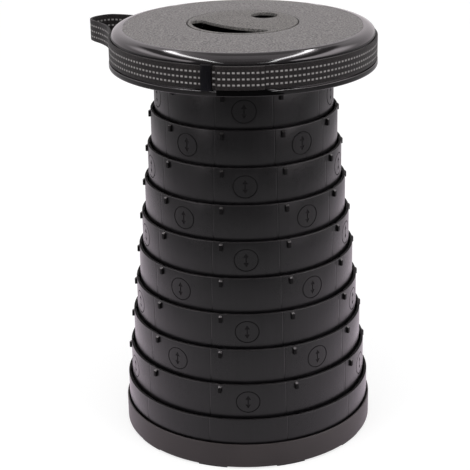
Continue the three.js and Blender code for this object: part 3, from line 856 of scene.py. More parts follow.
@dataclass
class Pegs:
    """The small wedges round a section's rim, and the notches that take them."""

    count: int = 10
    first: float = radians(-13)
    width: float = 3.6 * MM
    reach: float = 2.4 * MM
    drop: float = 1.0 * MM
    slope: float = 2.1 * MM
    face: float = 5.9 * MM
    root: float = 0.6 * MM
    rounding: float = 0.28 * MM
    gap: float = 0.4 * MM
    notch_root: float = 0.12 * MM
    slope_normals: Range = (0.7, 0.9)

    def on(self, radius: float, rim: float) -> Piece:
        """Model the pegs of one section.

        Args:
            radius: The section's outside radius.
            rim: The height of its rim.

        Returns:
            The pegs as one mesh.
        """
        top = rim - self.drop
        low = Vector((-self.width / 2, -radius - self.reach, top - self.slope - self.face))
        high = Vector((self.width / 2, -radius + self.root, top))
        peg = Workbench.block("pegs", low, high)
        front = -radius - self.reach / 2
        Workbench.lower(peg, lambda place: place.y < front and place.z > low.z + self.face / 2, self.slope)
        Workbench.round_edges(peg, self.rounding)
        return Workbench.around(peg, equal_azimuths(self.count, self.first))

    def notches(self, inside_radius: float, bore: float, rim: float, depth: float) -> Piece:
        """Model the cutters for the notches in one section's lip.

        Args:
            inside_radius: The outside radius of the section within.
            bore: The inside radius of this section's wall.
            rim: The height of its rim.
            depth: How far down the lip reaches.

        Returns:
            The cutters as one mesh.
        """
        half = self.width / 2 + self.gap
        low = Vector((-half, -bore - self.notch_root, rim - depth))
        cutter = Workbench.block("notches", low, Vector((half, -inside_radius, rim + MM)))
        return Workbench.around(cutter, equal_azimuths(self.count, self.first))


@dataclass
class MouldedMark:
    """A plain engraved sign that tells how the stool moves: an arrow up and down in an oval."""

    width: float = 26 * MM
    height: float = 25 * MM
    line: float = 1.1 * MM
    proud: float = 0.3 * MM
    depth: float = 0.7 * MM
    arrow_height: float = 15 * MM
    head: float = 4.6 * MM
    count: int = 5
    steps: int = 72

    @property
    def cut(self) -> Vector:
        """Give how far and which way the flat mark is extruded into a cutter."""
        return Vector((0, -self.proud - self.depth, 0))

    def _oval(self) -> Piece:
        """Model the cutter of the oval frame as a narrow ring of quads, thickened.

        Returns:
            The cutter.
        """
        Workbench.clear()
        turn = (math.pi / 2, 0, 0)
        bpy.ops.mesh.primitive_circle_add(vertices=self.steps, radius=0.5, fill_type="NGON", rotation=turn)
        oval = bpy.context.object
        bpy.ops.object.transform_apply(rotation=True)
        Workbench.edit(oval)
        bpy.ops.transform.resize(value=(self.width, 1, self.height))
        bpy.ops.mesh.inset(thickness=self.line, depth=0)
        bpy.ops.mesh.delete(type="FACE")
        Workbench.thicken(self.cut)
        return oval

    def _arrow(self) -> Piece:
        """Model the cutter of the arrow's shaft and its two heads.

        Returns:
            The cutter.
        """
        end, neck, wide = self.arrow_height / 2, self.arrow_height / 2 - self.head, self.head / 1.6
        half, shaft = self.line / 2, neck - self.line / 10
        shapes = [
            [(-half, -shaft), (half, -shaft), (half, shaft), (-half, shaft)],
            [(-wide, neck), (wide, neck), (0, end)],
            [(wide, -neck), (-wide, -neck), (0, -end)],
        ]
        return Workbench.join(
            [Workbench.prism("arrow", [Vector((x, 0, z)) for x, z in shape], self.cut) for shape in shapes]
        )

    def on(self, radius: float, middle: float, first: float) -> Piece:
        """Model the cutters of one section's marks.

        Args:
            radius: The section's outside radius.
            middle: The height of the marks' middle.
            first: The first mark's azimuth.

        Returns:
            The cutters as one mesh.
        """
        mark = Workbench.join([self._oval(), self._arrow()])
        mark.data.transform(Matrix.Translation((0, self.depth, 0)))
        for vertex in mark.data.vertices:
            x, y, z = vertex.co
            vertex.co = polar(radius - y, x / radius, middle + z)
        return Workbench.around(mark, equal_azimuths(self.count, first))


@dataclass
class TubeStack:
    """The nested tube sections, from the seat tube, 0, to the base section, 10."""

    last: int = 10
    last_radius: float = 135.2 * MM
    radius_step: float = 4.38 * MM
    last_rim: float = 56.6 * MM
    rim_step: float = 38.4 * MM
    wall: float = 1.6 * MM
    height: float = 50 * MM
    base_height: float = 53.1 * MM
    pan_rim: float = 28.35 * MM
    neck_foot: float = 3.8 * MM
    neck_bottom: float = 3.0 * MM
    neck_depth: float = 0.7 * MM
    neck_height: float = 4.6 * MM
    lip_gap: float = 1.6 * MM
    lip_depth: float = 2.0 * MM
    lip_slope: float = 1.2 * MM
    clamp_lip: float = 3.4 * MM
    rib_count: int = 5
    rib_first: float = radians(-1)
    rib_span: float = radians(10)
    rib_steps: int = 8
    rib_reach: float = 2.43 * MM
    rib_height: float = 8.1 * MM
    lock_turn: float = radians(36)
    ledge_gap: float = 0.45 * MM
    ledge_height: float = 3 * MM
    ledge_drop: float = 0.3 * MM
    root: float = 0.4 * MM

    def radius(self, index: int) -> float:
        """Give a section's outside radius."""
        return self.last_radius - (self.last - index) * self.radius_step

    def rim(self, index: int) -> float:
        """Give the height of a section's rim."""
        return self.last_rim + (self.last - index) * self.rim_step

    def _tube(self, index: int) -> Piece:
        """Model a section's wall and lip.

        Args:
            index: The section's number.

        Returns:
            The turned piece.
        """
        radius, rim = self.radius(index), self.rim(index)
        bore, neck = radius - self.wall, radius - self.neck_depth
        foot = rim - (self.base_height if index == self.last else self.height)
        lip = bore - self.clamp_lip if index == 0 else self.radius(index - 1) + self.lip_gap
        under = rim - self.lip_depth
        slope = 0.0 if index == 0 else self.lip_slope
        step = self.pan_rim if index == self.last else rim - self.rim_step
        profile = [
            (radius, foot),
            (radius, step - self.neck_foot),
            (neck, step - self.neck_bottom),
            (neck, step),
            (radius, step + self.neck_height),
            (radius, rim),
            (lip, rim),
            (lip, under),
            (bore, under - slope),
            (bore, foot),
        ]
        return Workbench.lathe(f"tube_{index}", profile, {0: 0.3 * MM, 5: 0.4 * MM, 6: 0.3 * MM})

    def _blocks(self, inner: float, outer: float, azimuth: float, low: float, high: float) -> Piece:
        """Model the lock ribs or ledges of one section.

        Args:
            inner: Their inside radius.
            outer: Their outside radius.
            azimuth: The first one's azimuth.
            low: Their lower height.
            high: Their upper height.

        Returns:
            The blocks as one mesh.
        """
        profile, span = oblong(inner, outer, low, high), self.rib_span
        block = Workbench.lathe("blocks", profile, None, -span / 2, span, self.rib_steps)
        return Workbench.around(block, equal_azimuths(self.rib_count, azimuth))

    def _section(self, index: int, finishes: list[Finish]) -> Piece:
        """Model one section.

        Args:
            index: Its number.
            finishes: The materials of the walls, of the marks' floors (painted shade), of the pegs (painted
                darker as shade) and of their slopes (a painted highlight).

        Returns:
            The section.
        """
        pegs = Pegs()
        radius, rim = self.radius(index), self.rim(index)
        bore = radius - self.wall
        section = self._tube(index)
        if 0 < index < self.last:
            first = 0.0 if index % 2 else FULL_TURN / 10
            cutter = MouldedMark().on(radius, rim - 0.5 * self.rim_step, first)
            # The cutter carries the mark material onto the engraved floors, which paints shade into the
            # grooves.
            paint(section, finishes[:2], lambda normal: False)
            paint(cutter, finishes[:2], lambda normal: True)
            Workbench.cut(section, cutter)
        parts = [section]
        if index > 0:
            inside = self.radius(index - 1)
            Workbench.cut(section, pegs.notches(inside, bore, rim, self.lip_depth + self.lip_slope))
            top = rim - (self.height - self.rim_step) - self.ledge_drop
            inner, turn = inside + self.ledge_gap, self.rib_first + self.lock_turn
            parts.append(self._blocks(inner, bore + self.root, turn, top - self.ledge_height, top))
        if index < self.last:
            foot = rim - self.height
            inner, outer = radius - self.root, radius + self.rib_reach
            parts.append(self._blocks(inner, outer, self.rib_first, foot, foot + self.rib_height))
        for part in parts:
            if not part.data.materials:
                part.data.materials.append(finishes[0])
        if index < self.last:
            # The pegs' up-and-outward slopes wear the painted highlight, the rest of each peg the painted
            # shade.
            low, high = pegs.slope_normals
            row = pegs.on(radius, rim)
            paint(row, finishes[2:], lambda normal: low < normal.z < high)
            parts.append(row)
        return Workbench.join(parts)

    def build(self, finishes: list[Finish]) -> int:
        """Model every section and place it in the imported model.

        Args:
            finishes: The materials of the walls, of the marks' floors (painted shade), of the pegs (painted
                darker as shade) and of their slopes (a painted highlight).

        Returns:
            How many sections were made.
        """
        ends = {0: ("seat_tube", "seat"), self.last: ("base_section", "base")}
        for index in range(self.last + 1):
            node, body = ends.get(index, (f"section_{index}", f"ring_{index}"))
            section = self._section(index, finishes)
            section.name = "smooth_" + node
            fit(section, finishes[0], body, Slot.SECTION, node)
        return self.last + 1


@dataclass
class BasePan:
    """The shallow pan that the lowest section stands in, with its anti-slip pads."""

    radius: float = 137.7 * MM
    inner: float = 136.0 * MM
    bottom: float = 1.2 * MM
    floor: float = 3.2 * MM
    rim: float = 28.35 * MM
    rib_count: int = 10
    rib_inner: float = 20 * MM
    rib_outer: float = 113.6 * MM
    rib_width: float = 1.6 * MM
    rib_height: float = 1.6 * MM
    rib_root: float = 0.5 * MM
    pad_count: int = 10
    pad_first: float = radians(-16.6)
    pad_span: float = radians(13.4)
    pad_steps: int = 16
    pad_inner: float = 127.0 * MM
    pad_outer: float = 136.5 * MM
    pad_top: float = 1.5 * MM
    pad_rounding: float = 0.4 * MM
    recess_gap: float = 0.25 * MM
    recess_roof: float = 0.2 * MM
    centre_radius: float = 14 * MM
    centre_steps: int = 64

    def build(self, pan_material: Finish, pad_material: Finish) -> int:
        """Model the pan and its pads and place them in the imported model.

        Args:
            pan_material: The pan's material.
            pad_material: The pads' material.

        Returns:
            How many pieces were made.
        """
        profile = [
            (0.0, self.bottom),
            (self.radius, self.bottom),
            (self.radius, self.rim),
            (self.inner, self.rim),
            (self.inner, self.floor),
            (0.0, self.floor),
        ]
        roundings = {1: 1.6 * MM, 2: 0.6 * MM, 3: 0.4 * MM, 4: 0.8 * MM}
        pan = Workbench.lathe("smooth_base_pan", profile, roundings)
        low = Vector((-self.rib_width / 2, -self.rib_outer, self.floor - self.rib_root))
        high = Vector((self.rib_width / 2, -self.rib_inner, self.floor + self.rib_height))
        rib = Workbench.block("pan_ribs", low, high)
        Workbench.round_edges(rib, 0.3 * MM)
        ribs = Workbench.around(rib, equal_azimuths(self.rib_count))
        azimuths = equal_azimuths(self.pad_count, self.pad_first)
        centre = self._centre("centre_recess", self.recess_gap)
        recesses = Workbench.around(self._pad(0.0, self.recess_gap), azimuths)
        Workbench.cut(pan, Workbench.join([recesses, centre]))
        fit(Workbench.join([pan, ribs]), pan_material, "base", Slot.BASE, "base_pan")
        for index, azimuth in enumerate(azimuths):
            pad = self._pad(azimuth)
            pad.name = f"rubber_pad_{index + 1}"
            fit(pad, pad_material, "base", Slot.PAD, f"foot_pad_{index + 1}")
        fit(self._centre("rubber_pad_centre"), pad_material, "base", Slot.PAD, "centre_pad")
        return self.pad_count + 2

    def _heights(self, gap: float) -> tuple[float, float]:
        """Give the lower and upper height of a pad, or with a gap those of its recess."""
        return (-MM, self.pad_top + self.recess_roof) if gap else (0.0, self.pad_top)

    def _centre(self, name: str, gap: float = 0.0) -> Piece:
        """Model the round pad in the middle, or with a gap the cutter of its recess.

        Args:
            name: The piece's name.
            gap: How much larger the recess is all round.

        Returns:
            The pad or the cutter.
        """
        disc = oblong(0.0, self.centre_radius + gap, *self._heights(gap))
        return Workbench.lathe(name, disc, None if gap else {1: self.pad_rounding}, steps=self.centre_steps)

    def _pad(self, azimuth: float, gap: float = 0.0) -> Piece:
        """Model one curved pad, or with a gap the cutter of its recess.

        Args:
            azimuth: The pad's middle.
            gap: How much larger the recess is all round.

        Returns:
            The pad or the cutter.
        """
        outer = self.pad_outer + gap
        span = self.pad_span + 2 * gap / outer
        profile = oblong(self.pad_inner - gap, outer, *self._heights(gap))
        roundings = None if gap else {0: self.pad_rounding, 1: self.pad_rounding}
        return Workbench.lathe("pad", profile, roundings, azimuth - span / 2, span, self.pad_steps)


@dataclass
class SeatShell:
    """The seat cover: crowned top, polished bevel, strap recess, lower lip, ribs and bosses."""

    bottom: float = 410.5 * MM
    lip_radius: float = 142.0 * MM
    lip_bore: float = 138.2 * MM
    lip_top: float = 416.2 * MM
    counterbore: float = 413.6 * MM
    wall_radius: float = 139.2 * MM
    cavity: float = 136.2 * MM
    groove_bottom: float = 440.7 * MM
    groove_top: float = 442.1 * MM
    groove_wall: float = 137.8 * MM
    bevel_bottom: float = 442.6 * MM
    bevel_height: float = 8.5 * MM
    dome_radius: float = 127.0 * MM
    dome_rise: float = 3.5 * MM
    line_radius: float = 126.2 * MM
    line_width: float = 0.9 * MM
    line_depth: float = 0.3 * MM
    bevel_steps: int = 14
    dome_steps: int = 7
    shell: float = 3.0 * MM
    shoulder: float = 2.6 * MM
    insert_bore: float = 59.2 * MM
    ledge_radius: float = 56.0 * MM
    ledge_top: float = 450.55 * MM
    ledge_thickness: float = 2.0 * MM
    ceiling: float = 440.9 * MM
    rib_count: int = 10
    rib_first: float = radians(18)
    rib_width: float = 1.6 * MM
    rib_root: float = 0.5 * MM
    boss_count: int = 5
    boss_circle: float = 80.58 * MM
    boss_radius: float = 4.5 * MM
    boss_bottom: float = 438.6 * MM
    smoothing: float = 28.0

    def dome(self, radius: float) -> float:
        """Give the height of the crowned top at a radius."""
        return self.bevel_bottom + self.bevel_height + self.dome_rise * (1 - (radius / self.dome_radius) ** 2)

    def _bevel(self) -> list[Corner]:
        """List the bevel's profile from the recess up to the dome.

        Returns:
            The corners.
        """
        corners = []
        for step in range(self.bevel_steps):
            turn = step / self.bevel_steps * math.pi / 2
            across = self.dome_radius + (self.wall_radius - self.dome_radius) * math.cos(turn)
            corners.append((across, self.bevel_bottom + self.bevel_height * math.sin(turn)))
        return corners

    def _top(self) -> list[Corner]:
        """List the crowned top's profile from the matte face's edge line in to the insert.

        Returns:
            The corners.
        """
        outer = self.line_radius + self.line_width / 2
        inner = self.line_radius - self.line_width / 2
        bottom = (self.line_radius, self.dome(self.line_radius) - self.line_depth)
        width = self.insert_bore - inner
        radii = [inner + width * step / self.dome_steps for step in range(1, self.dome_steps + 1)]
        face = [(radius, self.dome(radius)) for radius in (inner, *radii)]
        return [(outer, self.dome(outer)), bottom, *face]

    def _ribs(self) -> Piece:
        """Model the ribs under the shell.

        Returns:
            The ribs as one mesh.
        """
        low = Vector((-self.rib_width / 2, -self.cavity - self.rib_root, self.ceiling))
        top = self.dome(self.dome_radius) - self.shell / 2
        high = Vector((self.rib_width / 2, -(self.insert_bore + self.shell), top))
        rib = Workbench.block("seat_ribs", low, high)
        front, low_end = -self.dome_radius, self.ceiling + MM
        Workbench.lower(rib, lambda place: place.y < front and place.z > low_end, self.shoulder)
        return Workbench.around(rib, equal_azimuths(self.rib_count, self.rib_first))

    def _bosses(self) -> Piece:
        """Model the screw bosses under the shell.

        Returns:
            The bosses as one mesh.
        """
        top = self.dome(self.boss_circle) - self.shell / 2
        middle = Vector((0, -self.boss_circle, (top + self.boss_bottom) / 2))
        boss = Workbench.cylinder(middle, self.boss_radius, top - self.boss_bottom, 32)
        Workbench.round_edges(boss, 0.4 * MM)
        return Workbench.around(boss, equal_azimuths(self.boss_count))

    def build(self, material: Finish) -> int:
        """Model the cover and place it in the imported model.

        Args:
            material: The cover's material.

        Returns:
            How many pieces were made.
        """
        ledge_bottom = self.ledge_top - self.ledge_thickness
        ledge_root = self.insert_bore + self.shell
        lip = [
            (self.lip_bore, self.bottom),
            (self.lip_radius, self.bottom),
            (self.lip_radius, self.lip_top),
            (self.wall_radius, self.lip_top),
            (self.wall_radius, self.groove_bottom),
            (self.groove_wall, self.groove_bottom),
            (self.groove_wall, self.groove_top),
            (self.wall_radius, self.groove_top),
        ]
        inside = [
            (self.insert_bore, self.ledge_top),
            (self.ledge_radius, self.ledge_top),
            (self.ledge_radius, ledge_bottom),
            (ledge_root, ledge_bottom),
            (ledge_root + 2 * MM, self.dome(ledge_root) - self.shell),
            (self.dome_radius, self.dome(self.dome_radius) - self.shell),
            (self.cavity, self.bevel_bottom + self.shoulder),
            (self.cavity, self.counterbore + 2 * MM),
            (self.lip_bore, self.counterbore),
        ]
        outside = lip + self._bevel() + self._top()
        roundings = {0: 0.6 * MM, 1: 1.1 * MM, 2: 0.8 * MM, len(outside) - 1: 0.8 * MM}
        cover = Workbench.lathe("smooth_seat_cover", outside + inside, roundings)
        cover = Workbench.join([cover, self._ribs(), self._bosses()])
        fit(cover, material, "seat", Slot.SEAT, "seat_cover", angle=self.smoothing)
        return 1


@dataclass
class SeatInsert:
    """The round plate in the seat's crown, with the finger slot and the thumb hole."""

    radius: float = 58.0 * MM
    top: float = 453.85 * MM
    thickness: float = 3.0 * MM
    slot_outer: float = 54.0 * MM
    slot_width: float = 29.2 * MM
    slot_inner_x: float = 55 * MM
    slot_inner_y: float = 70 * MM
    wide_end: float = 8 * MM
    narrow_end: float = 5.4 * MM
    thumb_radius: float = 14.4 * MM
    thumb_reach: float = 38.3 * MM
    thumb_azimuth: float = radians(142.7)
    thumb_depth: float = 10 * MM
    hook_azimuths: tuple[float, ...] = (60, 115, 170, 225)
    hook_circle: float = 55.4 * MM
    hook_width: float = 8 * MM
    hook_thickness: float = 1.8 * MM
    hook_length: float = 4.6 * MM
    hook_barb: float = 1 * MM
    smoothing: float = 30.0

    @staticmethod
    def _arc(centre: Vector, radius: float, start: float, end: float, steps: int) -> list[Vector]:
        """List points along an arc, between two angles from +X.

        Args:
            centre: The arc's centre.
            radius: Its radius.
            start: Its first angle.
            end: Its last angle.
            steps: Number of its edges.

        Returns:
            The points.
        """
        turns = [start + (end - start) * step / steps for step in range(steps + 1)]
        return [centre + Vector((radius * math.cos(turn), radius * math.sin(turn), 0)) for turn in turns]

    def _end(self, inner_centre: Vector, inner_radius: float, end_radius: float, side: int) -> Vector:
        """Find the middle of one of the slot's round ends.

        Args:
            inner_centre: The centre of the slot's inner arc.
            inner_radius: The radius of that arc.
            end_radius: The end's own radius.
            side: 1 for the left end, -1 for the right.

        Returns:
            The place.
        """
        reach = self.slot_outer - end_radius
        apart = inner_centre.length
        cosine = (reach**2 + apart**2 - (inner_radius + end_radius) ** 2) / (2 * reach * apart)
        turn = math.atan2(inner_centre.y, inner_centre.x) + side * math.acos(cosine)
        return Vector((reach * math.cos(turn), reach * math.sin(turn), 0))

    def _slot(self) -> Piece:
        """Model the cutter of the crescent finger slot.

        Returns:
            The cutter.
        """
        outer_radius = self.slot_outer
        inner_centre = Vector((self.slot_inner_x, self.slot_inner_y, 0))
        inner_radius = inner_centre.length + outer_radius - self.slot_width
        wide = self._end(inner_centre, inner_radius, self.wide_end, 1)
        narrow = self._end(inner_centre, inner_radius, self.narrow_end, -1)

        def bearing(vector: Vector) -> float:
            """Give a vector's angle from +X, from 0 to a full turn."""
            return math.atan2(vector.y, vector.x) % FULL_TURN

        wide_out, narrow_out = bearing(wide), bearing(narrow)
        wide_in, narrow_in = bearing(inner_centre - wide), bearing(inner_centre - narrow)
        outer = self._arc(Vector((0, 0, 0)), outer_radius, wide_out, narrow_out, 40)
        right = self._arc(narrow, self.narrow_end, narrow_out - FULL_TURN, narrow_in, 12)
        inner = self._arc(inner_centre, inner_radius, narrow_in + math.pi, wide_in + math.pi, 40)
        left = self._arc(wide, self.wide_end, wide_in, wide_out, 14)
        points = outer + right[1:] + inner[1:] + left[1:-1]
        base = Vector((0, 0, self.top - self.thickness - MM))
        depth = Vector((0, 0, self.thickness + 2 * MM))
        return Workbench.prism("slot_cutter", [base + point for point in points], depth)

    def _hooks(self) -> Piece:
        """Model the snap hooks under the plate.

        Returns:
            The hooks as one mesh.
        """
        side, outside, bottom = -self.hook_width / 2, -self.hook_circle, self.top - self.thickness
        tip, inward = bottom - self.hook_length, outside + MM / 5
        barb_top = tip + 2 * MM
        high = Vector((-side, outside + self.hook_thickness, bottom + MM))
        hook = Workbench.block("hooks", Vector((side, outside, tip)), high)
        barb = [(inward, tip), (outside, tip), (outside - self.hook_barb, barb_top), (inward, barb_top)]
        corners = [Vector((side, north, up)) for north, up in barb]
        hook = Workbench.join([hook, Workbench.prism("barb", corners, Vector((self.hook_width, 0, 0)))])
        return Workbench.around(hook, [radians(value) for value in self.hook_azimuths])

    def build(self, material: Finish) -> int:
        """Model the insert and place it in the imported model.

        Args:
            material: The insert's material.

        Returns:
            How many pieces were made.
        """
        Workbench.clear()
        bpy.ops.mesh.primitive_circle_add(vertices=RING_STEPS, radius=self.radius, fill_type="NGON")
        plate = bpy.context.object
        plate.name = "smooth_seat_insert"
        Workbench.edit(plate)
        bpy.ops.transform.translate(value=(0, 0, self.top - self.thickness))
        Workbench.thicken(Vector((0, 0, self.thickness)))
        thumb = polar(self.thumb_reach, self.thumb_azimuth, self.top)
        Workbench.cut(plate, Workbench.cylinder(thumb, self.thumb_radius, self.thumb_depth, 72))
        Workbench.cut(plate, self._slot())
        Workbench.round_edges(plate, 0.8 * MM, 4)
        plate = Workbench.join([plate, self._hooks()])
        fit(plate, material, "seat", Slot.INSERT, "seat_insert", angle=self.smoothing)
        return 1


@dataclass
class CarryStrap:
    """The webbing round the seat, its carry loop, its sewn tail, a black strip of painted shadow under the
    tail, and its keeper.
    """

    inner: float = 139.5 * MM
    thickness: float = 2.1 * MM
    bottom: float = 417.7 * MM
    width: float = 23.4 * MM
    cell: float = 2.2 * MM
    run_steps: int = 260
    loop_start: float = radians(-88)
    loop_end: float = radians(-137)
    loop_reach: float = 50 * MM
    loop_steps: int = 8
    tail_from: float = radians(-10.7)
    tail_to: float = radians(8)
    tail_steps: int = 24
    tail_gap: float = 0.1 * MM
    tail_dip: float = 0.5 * MM
    tail_ease: float = radians(0.25)
    tail_shift: float = -1.15 * MM
    strap_shift: float = 1.45 * MM
    # The black strip of painted shadow under the tail: its drop, gap, thickness, taper and steps.
    shadow_strip_drop: float = 5.9 * MM
    shadow_strip_gap: float = 0.5 * MM
    shadow_strip_thickness: float = 0.8 * MM
    shadow_strip_taper: float = radians(8)
    shadow_strip_fall: float = 0.88
    shadow_strip_steps: int = 36
    keeper_middle: float = radians(-14.86)
    keeper_length: float = 11.4 * MM
    keeper_plate: float = 8 * MM
    keeper_leg: float = 0.9 * MM
    keeper_face: float = 1.6 * MM
    keeper_step: float = 1.0 * MM
    gap: float = 0.3 * MM
    smoothing: float = 40.0
    loop_route: tuple[tuple[float, float], ...] = (
        (-98, 0.056),
        (-106.1, 0.216),
        (-111.6, 0.5),
        (-115, 0.83),
        (-117.6, 0.99),
        (-121.3, 1),
        (-125.9, 0.87),
        (-128.3, 0.58),
        (-129.8, 0.28),
        (-131.9, 0.09),
    )

    @property
    def middle(self) -> float:
        """Give the radius of the webbing's middle."""
        return self.inner + self.thickness / 2

    def _loop(self) -> list[Vector]:
        """List the loop's route as a smooth curve through its places.

        Returns:
            The points, without the last.
        """
        start, end = math.degrees(self.loop_start), math.degrees(self.loop_end)
        places = [(start + 8, 0), (start, 0), *self.loop_route, (end, 0), (end - 6, 0)]
        knots = [polar(self.middle + share * self.loop_reach, radians(turn)) for turn, share in places]
        points = []
        for first, second, third, fourth in zip(knots, knots[1:], knots[2:], knots[3:]):
            for step in range(self.loop_steps):
                share = step / self.loop_steps
                line = 2 * second + (third - first) * share
                square = (2 * first - 5 * second + 4 * third - fourth) * share**2
                cube = (3 * second - first - 3 * third + fourth) * share**3
                points.append(0.5 * (line + square + cube))
        return points

    @staticmethod
    def _route(points: list[Vector], closed: bool) -> Piece:
        """Draw a route for a strip to follow.

        Args:
            points: The route's points.
            closed: Whether it runs on into its start.

        Returns:
            The curve.
        """
        curve = bpy.data.curves.new("route", "CURVE")
        curve.dimensions = "2D"
        line = curve.splines.new("POLY")
        line.points.add(len(points) - 1)
        for knot, place in zip(line.points, points):
            knot.co = (*place.xy, 0, 1)
        line.use_cyclic_u = closed
        route = bpy.data.objects.new("route", curve)
        bpy.context.scene.collection.objects.link(route)
        return route

    def _strip(self, name: str, points: list[Vector], closed: bool, shift: float) -> Piece:
        """Bend a flat strip of webbing along a route, upright.

        Args:
            name: The piece's name.
            points: The route.
            closed: Whether it runs on into its start.
            shift: How far its stitches are moved along it.

        Returns:
            The strip, with its own UV map in metres.
        """
        ends = list(zip(points, points[1:])) + ([(points[-1], points[0])] if closed else [])
        length = sum((after - before).length for before, after in ends)
        route = self._route(points, closed)
        Workbench.clear()
        cells = max(8, round(length / self.cell))
        bpy.ops.mesh.primitive_grid_add(x_subdivisions=cells, y_subdivisions=6, size=1, calc_uvs=True)
        strip = bpy.context.object
        strip.name = name
        Workbench.edit(strip)
        bpy.ops.transform.resize(value=(length, self.width, 1))
        bpy.ops.transform.rotate(value=math.pi / 2, orient_axis="X", center_override=(0, 0, 0))
        bpy.ops.transform.translate(value=(length / 2, 0, self.bottom + self.width / 2))
        Workbench.clear()
        layer = strip.data.uv_layers[0]
        layer.name = "run"
        for loop in strip.data.loops:
            place = strip.data.vertices[loop.vertex_index].co
            layer.data[loop.index].uv = (place.x - shift, place.z - self.bottom - self.width / 2)
        Workbench.apply(strip, "CURVE", object=route, deform_axis="POS_X")
        bpy.data.objects.remove(route)
        if closed:
            Workbench.edit(strip)
            bpy.ops.mesh.remove_doubles(threshold=MM / 20)
        Workbench.apply(strip, "SOLIDIFY", thickness=self.thickness, offset=0)
        Workbench.round_edges(strip, 0.4 * MM, 2, 50)
        return strip

    def _strap(self) -> Piece:
        """Model the strap with its loop and its tail.

        Returns:
            The strap.
        """
        start, end = self.loop_start, self.loop_end + FULL_TURN
        span = self.tail_to - self.tail_from
        turns = [start + (end - start) * step / self.run_steps for step in range(self.run_steps)]
        route = [polar(self.middle, turn) for turn in (*turns, end)] + self._loop()[:0:-1]
        strap = self._strip("smooth_carry_strap", route, True, self.strap_shift)
        outer = self.middle + self.thickness + self.tail_gap
        steps = range(self.tail_steps + 1)
        tail = [polar(outer, self.tail_from + span * step / self.tail_steps) for step in steps]
        tail[0] = polar(outer - self.tail_dip, self.tail_from - self.tail_ease)
        tail[-1] = polar(outer - self.tail_dip, self.tail_to + self.tail_ease)
        return Workbench.join([strap, self._strip("strap_tail", tail, False, self.tail_shift)])

    def _tail_shadow_strip(self) -> Piece:
        """Model the black strip of painted shadow under the tail, which stands in for the tail's shadow and
        the dark reflection on the lip, and tapers past the tail's end.

        Returns:
            The strip.
        """
        inner, low = self.middle + self.thickness / 2 + self.shadow_strip_gap, self.bottom - self.shadow_strip_drop
        profile = oblong(inner, inner + self.shadow_strip_thickness, low, self.bottom)
        span = self.tail_to - self.tail_from + self.shadow_strip_taper
        back = Workbench.lathe("smooth_tail_shadow_strip", profile, None, self.tail_from, span, self.shadow_strip_steps)
        for vertex in back.data.vertices:
            past = max(0.0, (math.atan2(vertex.co.x, -vertex.co.y) - self.tail_to) / self.shadow_strip_taper)
            vertex.co.z = low + (vertex.co.z - low) * (1 - self.shadow_strip_fall * past)
        return back

    def _keeper(self) -> Piece:
        """Model the clip round the strap beside its tail.

        Returns:
            The clip.
        """
        half, face = self.keeper_length / 2, -self.inner - self.thickness - self.gap
        under, over = self.bottom - self.gap, self.bottom + self.width + self.gap
        low = Vector((-half, face - self.keeper_face, under - self.keeper_leg))
        high = Vector((half, -self.inner + self.gap + self.keeper_leg, over + self.keeper_leg))
        keeper = Workbench.block("smooth_strap_keeper", low, high)
        length, step = self.keeper_length, low.y + self.keeper_step
        hole = (-length, face, under), (length, -self.inner + self.gap, over)
        opening = (self.keeper_plate - half, 2 * low.y, under), (length, step, over)
        for lowest, highest in (hole, opening):
            Workbench.cut(keeper, Workbench.block("keeper_hole", Vector(lowest), Vector(highest)))
        Workbench.round_edges(keeper, 0.35 * MM, 3)
        return Workbench.around(keeper, [self.keeper_middle])

    def build(self, webbing: Finish, tail_shadow: Finish, plastic: Finish) -> int:
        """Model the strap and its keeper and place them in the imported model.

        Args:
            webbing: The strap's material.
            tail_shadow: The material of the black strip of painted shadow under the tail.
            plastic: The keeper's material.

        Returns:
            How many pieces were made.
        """
        fit(self._strap(), webbing, "seat", Slot.STRAP, "carry_strap", angle=self.smoothing)
        # A black strip of painted shadow under the tail, for its shadow and dark reflection on the lip.
        fit(self._tail_shadow_strip(), tail_shadow, "seat", Slot.STRAP)
        fit(self._keeper(), plastic, "seat", Slot.KEEPER, "strap_keeper")
        return 3


@dataclass(frozen=True)
class TentSide:
    """One side of the light tent, drawn on an upright plane at unit distance from the seat.

    A place on the plane is how far back it lies and how far up.
    """

    ridge_height: float
    ridge_slope: float
    joint_height: float
    joint_slope: float
    joint_back: float
    panel_front: float
    panel_glow: float
    panel_fall: float
    panel_back: float
    route: tuple[Corner, ...]
    glows: tuple[float, ...]


